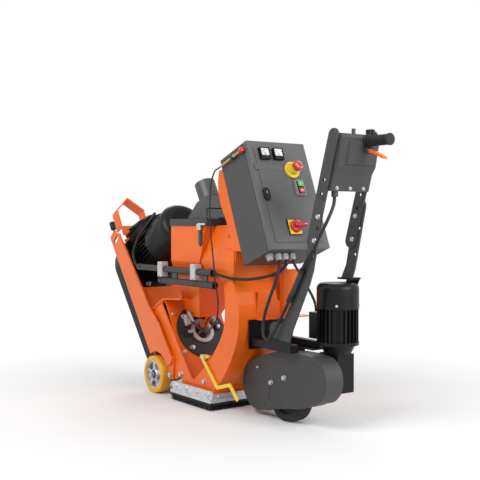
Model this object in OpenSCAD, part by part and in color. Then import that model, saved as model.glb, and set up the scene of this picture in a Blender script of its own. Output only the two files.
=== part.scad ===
// Walk-behind shot-blasting machine for concrete floors.
// +X points back to the operator, -X is the travel direction, -Y is the machine's left side, +Z is up.
// The floor is z = 0. Shapes are drawn with x = 0 at the middle of the seal frame and shifted once, in place().

/* [Seal frame] */
// Length of the seal frame along the travel direction
sealLength = 304; // [260:2:360]
// Width of the seal frame across the machine
sealWidth = 350; // [300:2:420]
// Height of the rail's outer web
railWeb = 52; // [30:1:60]
// Thickness of the aluminium rail
railThickness = 5; // [3:0.5:8]
// Height of the brush strip under the rail
brushHeight = 32; // [20:1:40]
// Bristles along each long side
longBristles = 106; // [40:1:120]
// Bristles along each short side
shortBristles = 94; // [40:1:110]
// Width of one bristle
bristleWidth = 2.2; // [1:0.1:3]

/* [Blast head] */
// Lean of the wheel and motor axis above the horizontal, in degrees
axisLean = 30; // [20:1:45]
// Half the width inside the side plates
halfWidth = 134; // [110:1:150]
// Thickness of the side plates
plateThickness = 6; // [4:0.5:10]
// Thickness of the bent sheet walls
sheet = 5; // [3:0.5:8]
// Depth of the wheel chamber along the axis
chamberDepth = 100; // [80:1:140]
// Radius of the round plate that carries the control cage
cagePlateRadius = 122; // [90:1:130]
// Radius of the port for the control cage
portRadius = 62; // [40:1:80]
// Radius over the blades of the blast wheel
bladeRadius = 88; // [60:1:100]
// Number of blades
blades = 6; // [4:1:8]
// Radius of the wheel shaft
shaftRadius = 17; // [10:0.5:25]
// Running gap of the turning parts
runningGap = 0.05; // [0.01:0.01:0.1]

/* [Motor and belt drive] */
// Distance between the wheel axis and the motor axis
centreDistance = 475; // [400:5:520]
// Radius of the motor flange
flangeRadius = 148; // [125:1:149]
// Radius over the motor fins
finRadius = 108; // [90:1:130]
// Radius of the fan cowl
cowlRadius = 114; // [95:1:135]
// Length of the motor from flange to grille
motorLength = 373; // [300:1:450]
// Number of cooling fins around the motor
motorFins = 34; // [20:1:48]
// Pitch radius of the motor pulley
motorPulley = 70; // [40:1:100]
// Pitch radius of the wheel pulley
wheelPulley = 56; // [40:1:100]
// Radius of the belt guard round the motor pulley
guardTopRadius = 149; // [100:1:149]
// Radius of the belt guard round the wheel pulley
guardLowRadius = 108; // [80:1:140]

/* [Hopper and separator] */
// Height of the hopper's upper edge
hopperTop = 745; // [700:1:800]
// Height where the hopper starts to taper
hopperKnee = 590; // [540:1:640]
// Height of the feed spout's lower end
spoutBottom = 345; // [330:1:380]
// Half the width of the hopper
hopperHalf = 140; // [110:1:150]
// Height of the lid's rim
lidHeight = 24; // [15:1:40]
// Outer radius of the dust outlet
outletRadius = 45; // [35:0.5:60]

/* [Control cabinet] */
// Height of the cabinet along its door
cabinetHeight = 440; // [380:5:480]
// Width of the cabinet
cabinetWidth = 283; // [240:1:320]
// Depth of the cabinet behind the door
cabinetDepth = 160; // [120:1:200]
// Lean of the door from the vertical, in degrees
cabinetLean = 21.6; // [0:0.1:30]
// Thickness of the door
doorThickness = 22; // [15:1:30]

/* [Handle] */
// Distance between the outer faces of the arms
armSpan = 192; // [160:2:240]
// Thickness of the arms
armThickness = 7; // [5:0.5:10]
// Width of the arms
armWidth = 50; // [35:1:60]
// Radius of the grip
gripRadius = 19; // [14:0.5:24]
// Length of the grip
gripLength = 128; // [100:1:150]

/* [Casters and lift lever] */
// Radius of a caster
casterRadius = 82; // [60:1:100]
// Width of a caster's tyre
casterWidth = 48; // [35:1:60]
// Radius of the caster axle
axleRadius = 12; // [8:0.5:16]

/* [Drive unit] */
// Radius of the drive wheel
driveRadius = 103; // [95:1:108]
// Width of the drive wheel
driveWidth = 50; // [40:1:70]
// Radius of the gear motor's fan cowl
gearCowlRadius = 78; // [60:1:90]
// Number of cooling fins around the gear motor
gearFins = 26; // [16:1:36]

/* [Hidden] */
$fn = 64;

// Colours of the finishes
orange = [0.95, 0.42, 0.12];
darkGrey = [0.28, 0.28, 0.29];
doorGrey = [0.52, 0.52, 0.52];
black = [0.07, 0.07, 0.08];
steel = [0.75, 0.76, 0.78];
castGrey = [0.72, 0.72, 0.72];
amber = [0.88, 0.62, 0.12];
yellow = [0.95, 0.85, 0.15];
red = [0.82, 0.14, 0.14];
green = [0.25, 0.75, 0.4];

// The wheel axis leaves the middle of the cage plate at this point
cageX = -180;
cageZ = 273;
// Unit vectors along the axis and up across it
axisX = cos(axisLean);
axisZ = sin(axisLean);
function alongAxis(l, v) = [cageX + l * axisX - v * axisZ, cageZ + l * axisZ + v * axisX];

railLip = 10;
railFoot = brushHeight;
railTop = railFoot - 6 + railWeb;
ringTop = 66;
ringBottom = 60;
outerHalf = halfWidth + plateThickness;
sealX = sealLength / 2;
sealY = sealWidth / 2;
webX = sealX - railLip;
webY = sealY - railLip;
innerX = webX - railThickness;
innerY = webY - railThickness;
motorFace = -245;
motorFlange = 14;
motorEnd = motorFace + motorLength;
cowlStart = -60;
guardBack = motorFace - plateThickness;
guardDepth = 72;
guardWall = 4;
wheelCentre = -46;
wheelWidth = 56;
shaftFree = shaftRadius + runningGap;
motorShaft = 19;
bailWidth = 56;
gripStart = 809;
bailPeak = 846;
// Foremost point of the bail and rearmost point of the grip, between which the machine is centred
bailFrontX = cageX + (guardBack - plateThickness - bailWidth) * axisX - bailPeak * axisZ;
gripTipX = gripStart + gripLength;
centreShift = -(gripTipX + bailFrontX) / 2;

// Front edge of the rebound duct from the bottom of the notch upwards, and its rear edge
ductFront = [[-26, 96], [22, 131], [68, 169], [98, 196], [120, 221], [146, 252], [171, 286], [190, 318],
    [200, 348], [204, 384], [205, 420], [203, 456], [199, 508]];
ductRear = [[128, 66], [133, 82], [156, 102], [182, 127], [214, 166], [244, 210], [268, 252], [286, 296],
    [297, 345], [300, 392], [295, 436], [281, 482], [254, 535]];
// Upper front outline of the side plates round the wheel chamber
plateFront = [[-47, 109], [-282, 395], alongAxis(0, 165), alongAxis(-160, 165), [-222, 132], [-214, 92],
    [-194, 74], [-170, 78], [-127, 97], [-104, ringTop]];
sideOutline = concat([[-104, ringTop], [128, ringTop]], [for (i = [1:len(ductRear) - 1]) ductRear[i]],
    [for (i = [len(ductFront) - 1:-1:0]) ductFront[i]], [for (i = [0:len(plateFront) - 2]) plateFront[i]]);

function unit(v) = v / norm(v);
function reversed(p) = [for (i = [len(p) - 1:-1:0]) p[i]];
// Left-hand normal of one stretch, the mitred normal at a corner, and a wall of even thickness t along a path
function leftOf(a, b) = let (d = unit(b - a)) [-d[1], d[0]];
function mitre(p, i) =
    let (a = leftOf(p[max(i - 1, 0)], p[max(i, 1)]), last = len(p) - 1,
        b = leftOf(p[min(i, last - 1)], p[min(i + 1, last)]))
    (a + b) / (1 + a * b);
function shifted(p, t) = [for (i = [0:len(p) - 1]) p[i] + t * mitre(p, i)];
function band(p, t) = concat(p, reversed(shifted(p, t)));
function mixed(a, b, c, d, t) =
    0.5 * (2 * b + (c - a) * t + (2 * a - 5 * b + 4 * c - d) * t * t + (3 * b - a - 3 * c + d) * t * t * t);
function smoothed(p, n) = concat(
    [for (i = [0:len(p) - 2]) for (k = [0:n - 1])
        mixed(p[max(i - 1, 0)], p[i], p[i + 1], p[min(i + 2, len(p) - 1)], k / n)],
    [p[len(p) - 1]]);
function heading(p, i) = unit(p[min(i + 1, len(p) - 1)] - p[max(i - 1, 0)]);
function carried(p, i, u) = i == len(p) ? [] :
    let (t = heading(p, i), w = unit(u - (u * t) * t)) concat([w], carried(p, i + 1, w));

// Everything below is drawn with x = 0 at the seal frame and moved to the centred frame here
module place() {
    translate([centreShift, 0, 0])
        children();
}

// Outline in the x-z plane made solid between two values of y
module upright(points, yLow, yHigh) {
    translate([0, yHigh, 0])
        rotate([90, 0, 0])
            linear_extrude(height = yHigh - yLow)
                polygon(points);
}

// Outline in the y-z plane made solid between two values of x
module lengthways(points, xLow, xHigh) {
    translate([xLow, 0, 0])
        rotate([90, 0, 90])
            linear_extrude(height = xHigh - xLow)
                polygon(points);
}

// Round bar along y
module crossBar(x, z, r, yLow, yHigh) {
    translate([x, yHigh, z])
        rotate([90, 0, 0])
            cylinder(h = yHigh - yLow, r = r);
}

module box(low, high) {
    translate(low)
        cube(high - low);
}

// Turns the local z axis onto the wheel axis: local x points down across it
module onAxis(l = 0, v = 0) {
    translate([cageX, 0, cageZ])
        rotate([0, 90 - axisLean, 0])
            translate([-v, 0, l])
                children();
}

// Local x runs down the cabinet's door, local z leaves the door towards the operator
module onCabinet() {
    translate([347, 0, 1067])
        rotate([0, 90 - cabinetLean, 0])
            children();
}

module hexHead(flats, height) {
    cylinder(h = height, r = flats / sqrt(3), $fn = 6);
}

// Washer and hexagon head on a face, pointing along local z
module bolt(flats, head) {
    cylinder(h = 1.6, r = flats * 0.68, $fn = 32);
    translate([0, 0, 1.6])
        hexHead(flats, head);
}

// A bolt on a face whose outward normal is -y or +y
module sideBolt(x, y, z, side, flats = 17, head = 9) {
    translate([x, y, z])
        rotate([side < 0 ? 90 : -90, 0, 0])
            bolt(flats, head);
}

// A bolt on a face whose outward normal is -x or +x
module endBolt(x, y, z, side, flats = 17, head = 9) {
    translate([x, y, z])
        rotate([0, side < 0 ? -90 : 90, 0])
            bolt(flats, head);
}

module bothSides() {
    children();
    mirror([0, 1, 0])
        children();
}

module roundedRect(w, h, r) {
    for (x = [-1, 1])
        translate([x * (w / 2 - r), 0])
            square([2 * r, h - 2 * r], center = true);
    square([w - 2 * r, h], center = true);
    for (x = [-1, 1], y = [-1, 1])
        translate([x * (w / 2 - r), y * (h / 2 - r)])
            circle(r = r);
}

// Round cable swept along a smoothed route
module cable(route, r, sides = 8, steps = 4) {
    path = smoothed(route, steps);
    side = carried(path, 0, [0.31, 0.83, 0.46]);
    last = len(path) - 1;
    ring = [for (i = [0:last]) for (j = [0:sides - 1])
        let (t = heading(path, i), w = cross(t, side[i]), a = j * 360 / sides)
            path[i] + r * (cos(a) * side[i] + sin(a) * w)];
    walls = [for (i = [0:last - 1]) for (j = [0:sides - 1])
        let (a = i * sides + j, b = i * sides + (j + 1) % sides)
            each [[a, a + sides, b + sides], [a, b + sides, b]]];
    ends = [for (j = [1:sides - 2])
        each [[0, j, j + 1], [last * sides, last * sides + j + 1, last * sides + j]]];
    polyhedron(points = ring, faces = concat(walls, ends), convexity = 6);
}

// Straight bristles with four sides as one set of closed prisms; each leans a little, none far enough to meet
function leanOf(i) = 0.5 * sin(i * 137.5);
module bristles(count, run, depth, topZ) {
    pitch = run / count;
    half = bristleWidth / 2;
    corners = [[-half, -half], [half, -half], [half, half], [-half, half]];
    points = [for (i = [0:count - 1]) each concat(
        [for (c = corners) [-run / 2 + (i + 0.5) * pitch + c[0] + leanOf(i),
            (i % 2 - 0.5) * depth + c[1], 0]],
        [for (c = corners) [-run / 2 + (i + 0.5) * pitch + c[0], (i % 2 - 0.5) * depth + c[1], topZ]])];
    walls = [[0, 4, 5], [0, 5, 1], [1, 5, 6], [1, 6, 2], [2, 6, 7], [2, 7, 3], [3, 7, 4], [3, 4, 0],
        [0, 1, 2], [0, 2, 3], [4, 6, 5], [4, 7, 6]];
    faces = [for (i = [0:count - 1]) for (f = walls) [for (k = f) k + 8 * i]];
    polyhedron(points = points, faces = faces, convexity = 10);
}

module base_ring() {
    color(orange)
        place()
            difference() {
                box([-innerX, -innerY, ringBottom], [innerX, innerY, ringTop]);
                box([-innerX + 8, -128, ringBottom - 1], [innerX - 12, 128, ringTop + 1]);
            }
}

module seal_rails() {
    color(steel)
        place()
            bothSides() {
                difference() {
                    union() {
                        box([-sealX, -sealY, railFoot], [sealX, -webY, railFoot + 14]);
                        box([-sealX, -webY, railFoot - 6], [sealX, -innerY, railTop]);
                    }
                    box([-sealX - 1, -webY - 1, railFoot - 7], [sealX + 1, -innerY + 1, railFoot]);
                }
                for (end = [-1, 1]) mirror([end > 0 ? 0 : 1, 0, 0]) {
                    box([webX, -innerY, railFoot], [sealX, 0, railFoot + 14]);
                    box([innerX, -innerY, railFoot], [webX, 0, ringTop - 2]);
                }
            }
}

module brush_left() {
    color(black)
        place()
            translate([0, -(sealY - 6), 0]) {
                box([-sealX + 1, -4.5, railFoot - 9], [sealX - 1, 4.5, railFoot]);
                bristles(longBristles, sealLength - 6, 4.4, railFoot - 8.5);
            }
}

module brush_right() {
    mirror([0, 1, 0])
        brush_left();
}

module endBrush(end) {
    color(black)
        place()
            translate([end * (sealX - 6), 0, 0]) {
                box([-4.5, -(sealY - 12), railFoot - 9], [4.5, sealY - 12, railFoot]);
                rotate([0, 0, 90])
                    bristles(shortBristles, sealWidth - 28, 4.4, railFoot - 8.5);
            }
}

module brush_front() {
    endBrush(-1);
}

module brush_rear() {
    endBrush(1);
}

module railBolts() {
    color(steel)
        place() {
            bothSides()
                for (x = [-123, -42, 40, 121]) {
                    sideBolt(x, -webY, 62, -1, 13, 7);
                    sideBolt(x + 3, -webY, 50, -1, 5, 3);
                }
            for (y = [-126, -44, 44, 126]) {
                endBolt(webX, y, 55, 1, 10, 6);
                endBolt(-webX, y, 55, -1, 10, 6);
            }
        }
}

module side_plates() {
    color(orange)
        place() {
            upright([[50, 194], [64, 216], [112, 216], [100, 190], [60, 160]], -outerHalf, -halfWidth);
            bothSides()
                difference() {
                    upright(sideOutline, -outerHalf, -halfWidth);
                    crossBar(-192, 96, axleRadius + runningGap, -outerHalf - 1, -halfWidth + 1);
                    upright([[-366, 336], [-352, 346], [-300, 322], [-308, 306]], -outerHalf - 1, -halfWidth + 1);
                }
        }
}

module wheel_chamber() {
    topFlange();
    wallPath = [[-126, ringTop], [-126, 88], alongAxis(-chamberDepth, -74), alongAxis(-chamberDepth, 165),
        alongAxis(0, 165), alongAxis(0, -212)];
    color(orange)
        place()
            difference() {
                upright(band(wallPath, -sheet), -halfWidth, halfWidth);
                onAxis(-2 * sheet)
                    cylinder(h = 3 * sheet, r = portRadius);
                onAxis(-chamberDepth - sheet)
                    cylinder(h = 3 * sheet, r = 45);
            }
}

// Bent flange plate along the top of the wheel chamber, cut out round the feed spout
module topFlange() {
    color(orange)
        place()
            difference() {
                upright(band([alongAxis(-158, 165), alongAxis(0, 165), [-116, 424]], plateThickness),
                    -outerHalf - 6, outerHalf + 6);
                box([-250, -88, 380], [-80, 88, 460]);
                bothSides()
                    upright([[-440, 360], [-340, 440], [-440, 440]], -outerHalf - 7, -60);
            }
}

module rebound_duct() {
    frontWall = concat([[-68, 82]], ductFront);
    color(orange)
        place() {
            upright(band(frontWall, -sheet), -halfWidth, halfWidth);
            upright(band(ductRear, sheet), -halfWidth, halfWidth);
        }
}

// Box stand that carries the motor plate ahead of the wheel chamber
module motor_stand() {
    color(orange)
        place()
            difference() {
                onAxis()
                    translate([-304, -128, motorFace])
                        cube([254, 256, 82]);
                onAxis()
                    translate([-298, -122, motorFace - 1])
                        cube([242, 244, 78]);
            }
}

module frameBolts() {
    color(steel)
        place() {
            bothSides() {
                sideBolt(-119, -outerHalf, 108, -1);
                sideBolt(62, -outerHalf, 104, -1);
            }
            crossBar(70, 205, 5, -152, -outerHalf);
            crossBar(70, 205, 9, -156, -151);
            for (y = [-outerHalf + 18, outerHalf - 18], l = [-140, -118])
                onAxis(l, 165 + plateThickness)
                    translate([0, y, 0])
                        rotate([0, -90, 0])
                            bolt(13, 7);
            for (y = [-90, 90], s = [-1, 1])
                onAxis(0, 0)
                    translate([s * 90 - 4, y * 1.27, 0])
                        bolt(13, 7);
        }
}

// Round plate on the rear face of the wheel chamber with its hexagon bolts
module cage_plate() {
    color(darkGrey)
        place()
            onAxis() {
                difference() {
                    cylinder(h = 8, r = cagePlateRadius, $fn = 96);
                    translate([0, 0, -1])
                        cylinder(h = 10, r = 47);
                }
                for (a = [10, 190])
                    rotate([0, 0, a])
                        translate([-cagePlateRadius - 8, -14, 0])
                            cube([14, 28, 8]);
            }
    color(steel)
        place()
            onAxis(8)
                for (a = [-45:90:225])
                    rotate([0, 0, a])
                        translate([104, 0, 0])
                            bolt(17, 9);
    cageClamps();
}

// The control cage turns in the cage plate: sleeve, scale and clamp dogs
module control_cage() {
    color(castGrey)
        place()
            onAxis() {
                difference() {
                    union() {
                        translate([0, 0, -20])
                            cylinder(h = 30, r = 47 - runningGap);
                        translate([0, 0, 8 + runningGap])
                            cylinder(h = 5, r = 56);
                    }
                    translate([0, 0, -21])
                        cylinder(h = 40, r = 38);
                }
                translate([0, 0, 13])
                    difference() {
                        cylinder(h = 3, r = 56);
                        translate([0, 0, -1])
                            cylinder(h = 5, r = 40);
                        translate([-60, -60, -1])
                            cube([60, 120, 5]);
                    }
            }
}

// Clamp dogs and stops round the cage
module cageClamps() {
    clampHeight = 24;
    color(castGrey)
        place()
            onAxis(8) {
                for (y = [-1, 1])
                    translate([-74, y * 68 - 9, 0])
                        cube([46, 18, clampHeight]);
                for (y = [-1, 1])
                    translate([-56, y * 68 - 7 - y * 16, 14])
                        cube([14, 14, 10]);
            }
    color(black)
        place()
            onAxis(8) {
                translate([-8, -84, 0])
                    cube([26, 22, 18]);
                translate([-20, 66, 0])
                    cube([24, 26, 14]);
            }
    color(steel)
        place()
            onAxis(8)
                for (p = [[5, -73, 18], [-8, 79, 14], [-62, -68, clampHeight], [-62, 68, clampHeight]])
                    translate(p)
                        bolt(13, 7);
}

module blast_wheel() {
    color(steel)
        place()
            onAxis(wheelCentre) {
                difference() {
                    union() {
                        translate([0, 0, -wheelWidth / 2])
                            cylinder(h = 8, r = bladeRadius);
                        for (i = [0:blades - 1])
                            rotate([0, 0, i * 360 / blades])
                                translate([38, -3, -wheelWidth / 2])
                                    cube([bladeRadius - 38, 6, 48]);
                        translate([0, 0, -wheelWidth / 2 - 14])
                            cylinder(h = 16, r = 30);
                    }
                    translate([0, 0, -wheelWidth / 2 - 15])
                        cylinder(h = 24, r = shaftRadius);
                }
            }
}

module wheel_shaft() {
    color(steel)
        place()
            onAxis(wheelCentre - wheelWidth / 2 + 8)
                mirror([0, 0, 1])
                    cylinder(h = -guardBack + 52 + wheelCentre - wheelWidth / 2 + 8, r = shaftRadius);
    color(steel)
        place()
            onAxis(guardBack - 50)
                pulley(wheelPulley, shaftRadius);
}

// Cast bearing housing between the chamber and the belt drive
module bearing_housing() {
    backFace = -chamberDepth;
    color(darkGrey)
        place()
            onAxis(backFace)
                difference() {
                    union() {
                        mirror([0, 0, 1])
                            cylinder(h = 12, r = 70);
                        mirror([0, 0, 1])
                            cylinder(h = backFace - motorFace, r = 44);
                    }
                    translate([0, 0, motorFace - backFace - 1])
                        cylinder(h = backFace - motorFace + 2, r = shaftFree);
                }
}

module pulley(pitch, bore) {
    difference() {
        union() {
            for (i = [0:2])
                translate([0, 0, i * 14]) {
                    cylinder(h = 7, r1 = pitch + 3, r2 = pitch - 5);
                    translate([0, 0, 7])
                        cylinder(h = 7, r1 = pitch - 5, r2 = pitch + 3);
                }
            translate([0, 0, 42])
                cylinder(h = 3, r = pitch + 3);
        }
        translate([0, 0, -1])
            cylinder(h = 48, r = bore);
    }
}

// Three V-belts run as flat loops in the pulley grooves
module drive_belts() {
    tilt = asin((motorPulley - wheelPulley) / centreDistance);
    color(black)
        place()
            for (i = [0:2])
                onAxis(guardBack - 46.5 + 14 * i)
                    linear_extrude(height = 7)
                        difference() {
                            beltShape(tilt, 4.5);
                            beltShape(tilt, -0.6);
                        }
}

// Outline round both pulleys, grown by g over the pitch radii
module beltShape(tilt, g) {
    a = wheelPulley + g;
    b = motorPulley + g;
    circle(r = a, $fn = 72);
    translate([-centreDistance, 0])
        circle(r = b, $fn = 72);
    polygon([[a * sin(tilt), a * cos(tilt)], [-centreDistance + b * sin(tilt), b * cos(tilt)],
        [-centreDistance + b * sin(tilt), -b * cos(tilt)], [a * sin(tilt), -a * cos(tilt)]]);
}

// Dark plate that carries the motor, closing the back of the belt guard
module motor_plate() {
    color(darkGrey)
        place()
            onAxis(guardBack)
                difference() {
                    union() {
                        translate([-580, -132, 0])
                            cube([251, 264, 6]);
                        guardShape(0, 6);
                    }
                    translate([-centreDistance, 0, -1])
                        cylinder(h = 8, r = 60);
                    translate([0, 0, -1])
                        cylinder(h = 8, r = 30);
                }
}

// Outline round both ends of the belt guard, extruded
module guardShape(grow, height) {
    a = guardLowRadius + grow;
    b = guardTopRadius + grow;
    tilt = asin((b - a) / centreDistance);
    linear_extrude(height = height) {
        circle(r = a, $fn = 96);
        translate([-centreDistance, 0])
            circle(r = b, $fn = 96);
        polygon([[a * sin(tilt), a * cos(tilt)], [-centreDistance + b * sin(tilt), b * cos(tilt)],
            [-centreDistance + b * sin(tilt), -b * cos(tilt)], [a * sin(tilt), -a * cos(tilt)]]);
    }
}

module belt_guard() {
    color(darkGrey)
        place()
            onAxis(guardBack)
                mirror([0, 0, 1])
                    difference() {
                        guardShape(0, guardDepth);
                        translate([0, 0, -1])
                            guardShape(-guardWall, guardDepth + 1 - guardWall);
                    }
}

module motor_body() {
    barrel = finRadius - 13;
    bodyStart = motorFace + motorFlange;
    color(black)
        place()
            onAxis(0, centreDistance)
                difference() {
                    union() {
                        translate([0, 0, motorFace])
                            cylinder(h = motorFlange, r = flangeRadius, $fn = 96);
                        translate([0, 0, bodyStart - 1])
                            cylinder(h = cowlStart - bodyStart + 5, r = barrel);
                        translate([0, 0, bodyStart])
                            cylinder(h = 22, r = finRadius);
                        for (i = [0:motorFins - 1])
                            rotate([0, 0, (i + 0.5) * 360 / motorFins])
                                translate([barrel - 2, -1.6, bodyStart + 20])
                                    cube([finRadius - barrel + 1.5, 3.2, cowlStart - bodyStart - 20]);
                    }
                    translate([0, 0, motorFace - 1])
                        cylinder(h = cowlStart - motorFace + 6, r = motorShaft + runningGap);
                    translate([-finRadius - 1, -36, motorFace + 60])
                        cube([15, 72, 100]);
                }
    color(steel)
        place()
            onAxis(motorFace + motorFlange, centreDistance)
                for (i = [0:7])
                    rotate([0, 0, 22.5 + 45 * i])
                        translate([132, 0, 0])
                            bolt(17, 9);
}

// Fan cowl with a rounded shoulder and a perforated end
module motor_cowl() {
    lap = 12;
    length = motorEnd - cowlStart;
    color(black)
        place()
            onAxis(cowlStart, centreDistance) {
                for (a = [0, 90, 270])
                    rotate([0, 0, a])
                        translate([finRadius + 0.2, -8, -lap])
                            cube([cowlRadius - finRadius - 1, 16, lap + 4]);
                difference() {
                    rotate_extrude($fn = 96)
                        difference() {
                            union() {
                                square([cowlRadius, length - 34]);
                                square([cowlRadius - 34, length]);
                                translate([cowlRadius - 34, length - 34])
                                    circle(r = 34);
                            }
                            translate([0, -1])
                                square([cowlRadius - 3, length - 36]);
                            square([cowlRadius - 38, length - 3]);
                        }
                    for (ring = [0:6])
                        for (i = [0:max(0, 6 * ring - 1)])
                            rotate([0, 0, ring == 0 ? 0 : i * 60 / ring])
                                translate([ring * 11, 0, length - 10])
                                    cylinder(h = 12, r = 3.6, $fn = 6);
                }
            }
}

module motor_rotor() {
    color(steel)
        place()
            onAxis(0, centreDistance) {
                translate([0, 0, guardBack - 50])
                    pulley(motorPulley, motorShaft);
                translate([0, 0, guardBack - 54])
                    cylinder(h = motorEnd - 40 - guardBack + 54, r = motorShaft);
                translate([0, 0, cowlStart + 24]) {
                    difference() {
                        cylinder(h = 34, r = 34);
                        translate([0, 0, -1])
                            cylinder(h = 36, r = motorShaft - 0.01);
                    }
                    for (i = [0:8])
                        rotate([0, 0, i * 40])
                            translate([32, -2, 0])
                                cube([68, 4, 34]);
                }
            }
}

// Terminal box turned a little towards the left side, with its sloped lid and cable glands
module terminal_box() {
    color(black)
        place()
            onAxis(0, centreDistance)
                rotate([0, 0, 18])
                    translate([-finRadius, 0, motorFace + 110]) {
                        difference() {
                            translate([-36, -66, -68])
                                cube([50, 132, 136]);
                            translate([finRadius, 0, -70])
                                cylinder(h = 140, r = finRadius + 0.3);
                        }
                        translate([-46, -72, -72])
                            cube([10, 144, 144]);
                        translate([-46, 0, 0])
                            rotate([0, -90, 0])
                                cylinder(h = 14, r1 = 96, r2 = 60, $fn = 4);
                        translate([-16, -30, 68])
                            cylinder(h = 14, r = 11, $fn = 6);
                    }
}

// Lifting bail on its plate above the motor plate
module lift_bail() {
    outer = [[-676, -76], [-776, -76], [-bailPeak, 0], [-776, 76], [-676, 76]];
    inner = [[-676, -70], [-773, -70], [8 - bailPeak, 0], [-773, 70], [-676, 70]];
    color(orange)
        place() {
            onAxis(guardBack - plateThickness)
                difference() {
                    translate([-680, -98, 0])
                        cube([116, 196, plateThickness]);
                    translate([-centreDistance, 0, -1])
                        cylinder(h = plateThickness + 2, r = guardTopRadius + 0.4, $fn = 96);
                    translate([-632, -101, -1])
                        cube([26, 14, plateThickness + 2]);
                }
            onAxis(guardBack - plateThickness - bailWidth)
                translate([0, -18, 0])
                    linear_extrude(height = bailWidth)
                        polygon(concat(outer, reversed(inner)));
        }
}

// Funnel-shaped outer form of the hopper, pulled in on every side by t
module hopperForm(t) {
    spread = spoutBottom - (t > 0 ? 20 : 0);
    intersection() {
        upright([[-202 + t, hopperTop + (t > 0 ? 20 : 0)], [72 - t, hopperTop + (t > 0 ? 20 : 0)],
            [22 - t, hopperKnee], [-110 - t, spoutBottom], [-110 - t, spread], [-206 + t, spread],
            [-206 + t, spoutBottom], [-202 + t, hopperKnee]], -hopperHalf - 1, hopperHalf + 1);
        lengthways([[-hopperHalf + t, hopperTop + 21], [hopperHalf - t, hopperTop + 21],
            [hopperHalf - t, hopperKnee], [55 - t, spoutBottom], [55 - t, spread], [-55 + t, spread],
            [-55 + t, spoutBottom], [-hopperHalf + t, hopperKnee]], -300, 200);
    }
}

module hopper() {
    color(orange)
        place() {
            crossBar(32, 733, 4, -154, -hopperHalf);
            difference() {
                hopperForm(0);
                hopperForm(sheet);
                crossBar(-162, 362, 5.05, -70, 70);
            }
            for (x = lidKnuckles) {
                alongX(2.5, x - 8, x + 38, lidPivot[0], lidPivot[1]);
                for (e = [-8, 32]) {
                    box([x + e, hopperHalf - 3, lidPivot[1] - 18], [x + e + 6, lidPivot[0] + 3, lidPivot[1] - 6]);
                    box([x + e, lidPivot[0] - 3, lidPivot[1] - 7], [x + e + 6, lidPivot[0] + 3, lidPivot[1] + 3]);
                }
            }
            for (y = [-14, 8])
                upright([[-110.5, 352], [-110.5, 342], [-138, 318], [-146, 300], [-160, 292], [-166, 300],
                    [-164, 318], [-150, 321], [-128, 336], [-118, 348]], y, y + 6);
        }
}

// Lid with a turned-down rim and the lid's pull handle
module hopper_lid() {
    rim = hopperTop + 0.5;
    top = rim + lidHeight;
    grabX = 68;
    color(darkGrey)
        place() {
            difference() {
                box([-208, -hopperHalf - 2.8, rim - 6], [82, hopperHalf + 2.8, top]);
                box([-205, -hopperHalf - 0.8, rim - 7], [75, hopperHalf + 0.8, rim]);
                box([-200, -hopperHalf + 6, rim - 7], [60, hopperHalf - 6, top - 3]);
                box([-140, -40, top - 5], [-60, 40, top + 1]);
            }
            crossBar(grabX, top + 44, 4, -135, -45);
            for (y = [-135, -45])
                translate([grabX, y, top - 2]) {
                    cylinder(h = 46, r = 4);
                    translate([0, 0, 46])
                        sphere(r = 4);
                }
            for (x = lidKnuckles)
                difference() {
                    union() {
                        alongX(4.5, x, x + 30, lidPivot[0], lidPivot[1]);
                        box([x, hopperHalf + 2.8, lidPivot[1]], [x + 30, lidPivot[0], lidPivot[1] + 4.5]);
                    }
                    alongX(2.55, x - 1, x + 31, lidPivot[0], lidPivot[1]);
                }
        }
}

// Hinge line of the lid along the right wall, and where its knuckles start
lidPivot = [hopperHalf + 8, hopperTop - 2];
lidKnuckles = [-166, 14];

// Pyramid-shaped cover on the lid with the inclined hose connection for the dust collector
module dust_outlet() {
    base = hopperTop + 0.5 + lidHeight;
    color(castGrey)
        place()
            difference() {
                union() {
                    intersection() {
                        upright([[-190, base], [45, base], [45, base + 6], [-65, 872], [-138, 840],
                            [-190, base + 6]], -62, 62);
                        lengthways([[-60, base], [60, base], [60, base + 6], [44, 875], [-44, 875],
                            [-60, base + 6]], -200, 60);
                    }
                    outletPipe(outletRadius, 0, 118);
                    outletPipe(outletRadius + 1.5, 34, 40);
                }
                intersection() {
                    upright([[-184, base - 1], [39, base - 1], [39, base + 3], [-68, 866], [-134, 837],
                        [-184, base + 3]], -56, 56);
                    lengthways([[-55, base - 1], [55, base - 1], [55, base + 3], [40, 869], [-40, 869],
                        [-55, base + 3]], -200, 60);
                }
                outletPipe(outletRadius - 3, -10, 120);
            }
}

module outletPipe(r, low, high) {
    translate([-92, 0, 822])
        rotate([0, -axisLean, 0])
            translate([0, 0, low])
                cylinder(h = high - low, r = r);
}

// Over-centre latch on the left wall of the hopper
module lid_latch() {
    color(steel)
        place() {
            difference() {
                upright([[20, 748], [40, 752], [50, 738], [52, 664], [44, 657], [36, 664], [34, 722],
                    [20, 732]], -154, -148);
                crossBar(32, 733, 4.05, -160, -140);
            }
            upright([[36, 752], [88, 752], [88, 744], [36, 744]], -158, -153);
        }
}

// Shot separator between hopper and rebound duct, made of folded panels
module separatorForm(t) {
    intersection() {
        upright([[199 + t, 508 + t], [254 - t, 535 + t], [258 - t, 600], [225 - t, 690 - t], [160, 744 - t],
            [86, 742 - t], [83.5, 738.5 - t], [71 + t, 738.5 - t], [23.2 + t, 592], [60 + t, 560 + t]], -150, 150);
        lengthways([[-halfWidth + t, 480], [halfWidth - t, 480], [halfWidth - t, 600],
            [95 - t, 745], [-95 + t, 745], [-halfWidth + t, 600]], 0, 300);
    }
}

module separator() {
    color(orange)
        place()
            difference() {
                separatorForm(0);
                separatorForm(sheet);
            }
}

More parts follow.
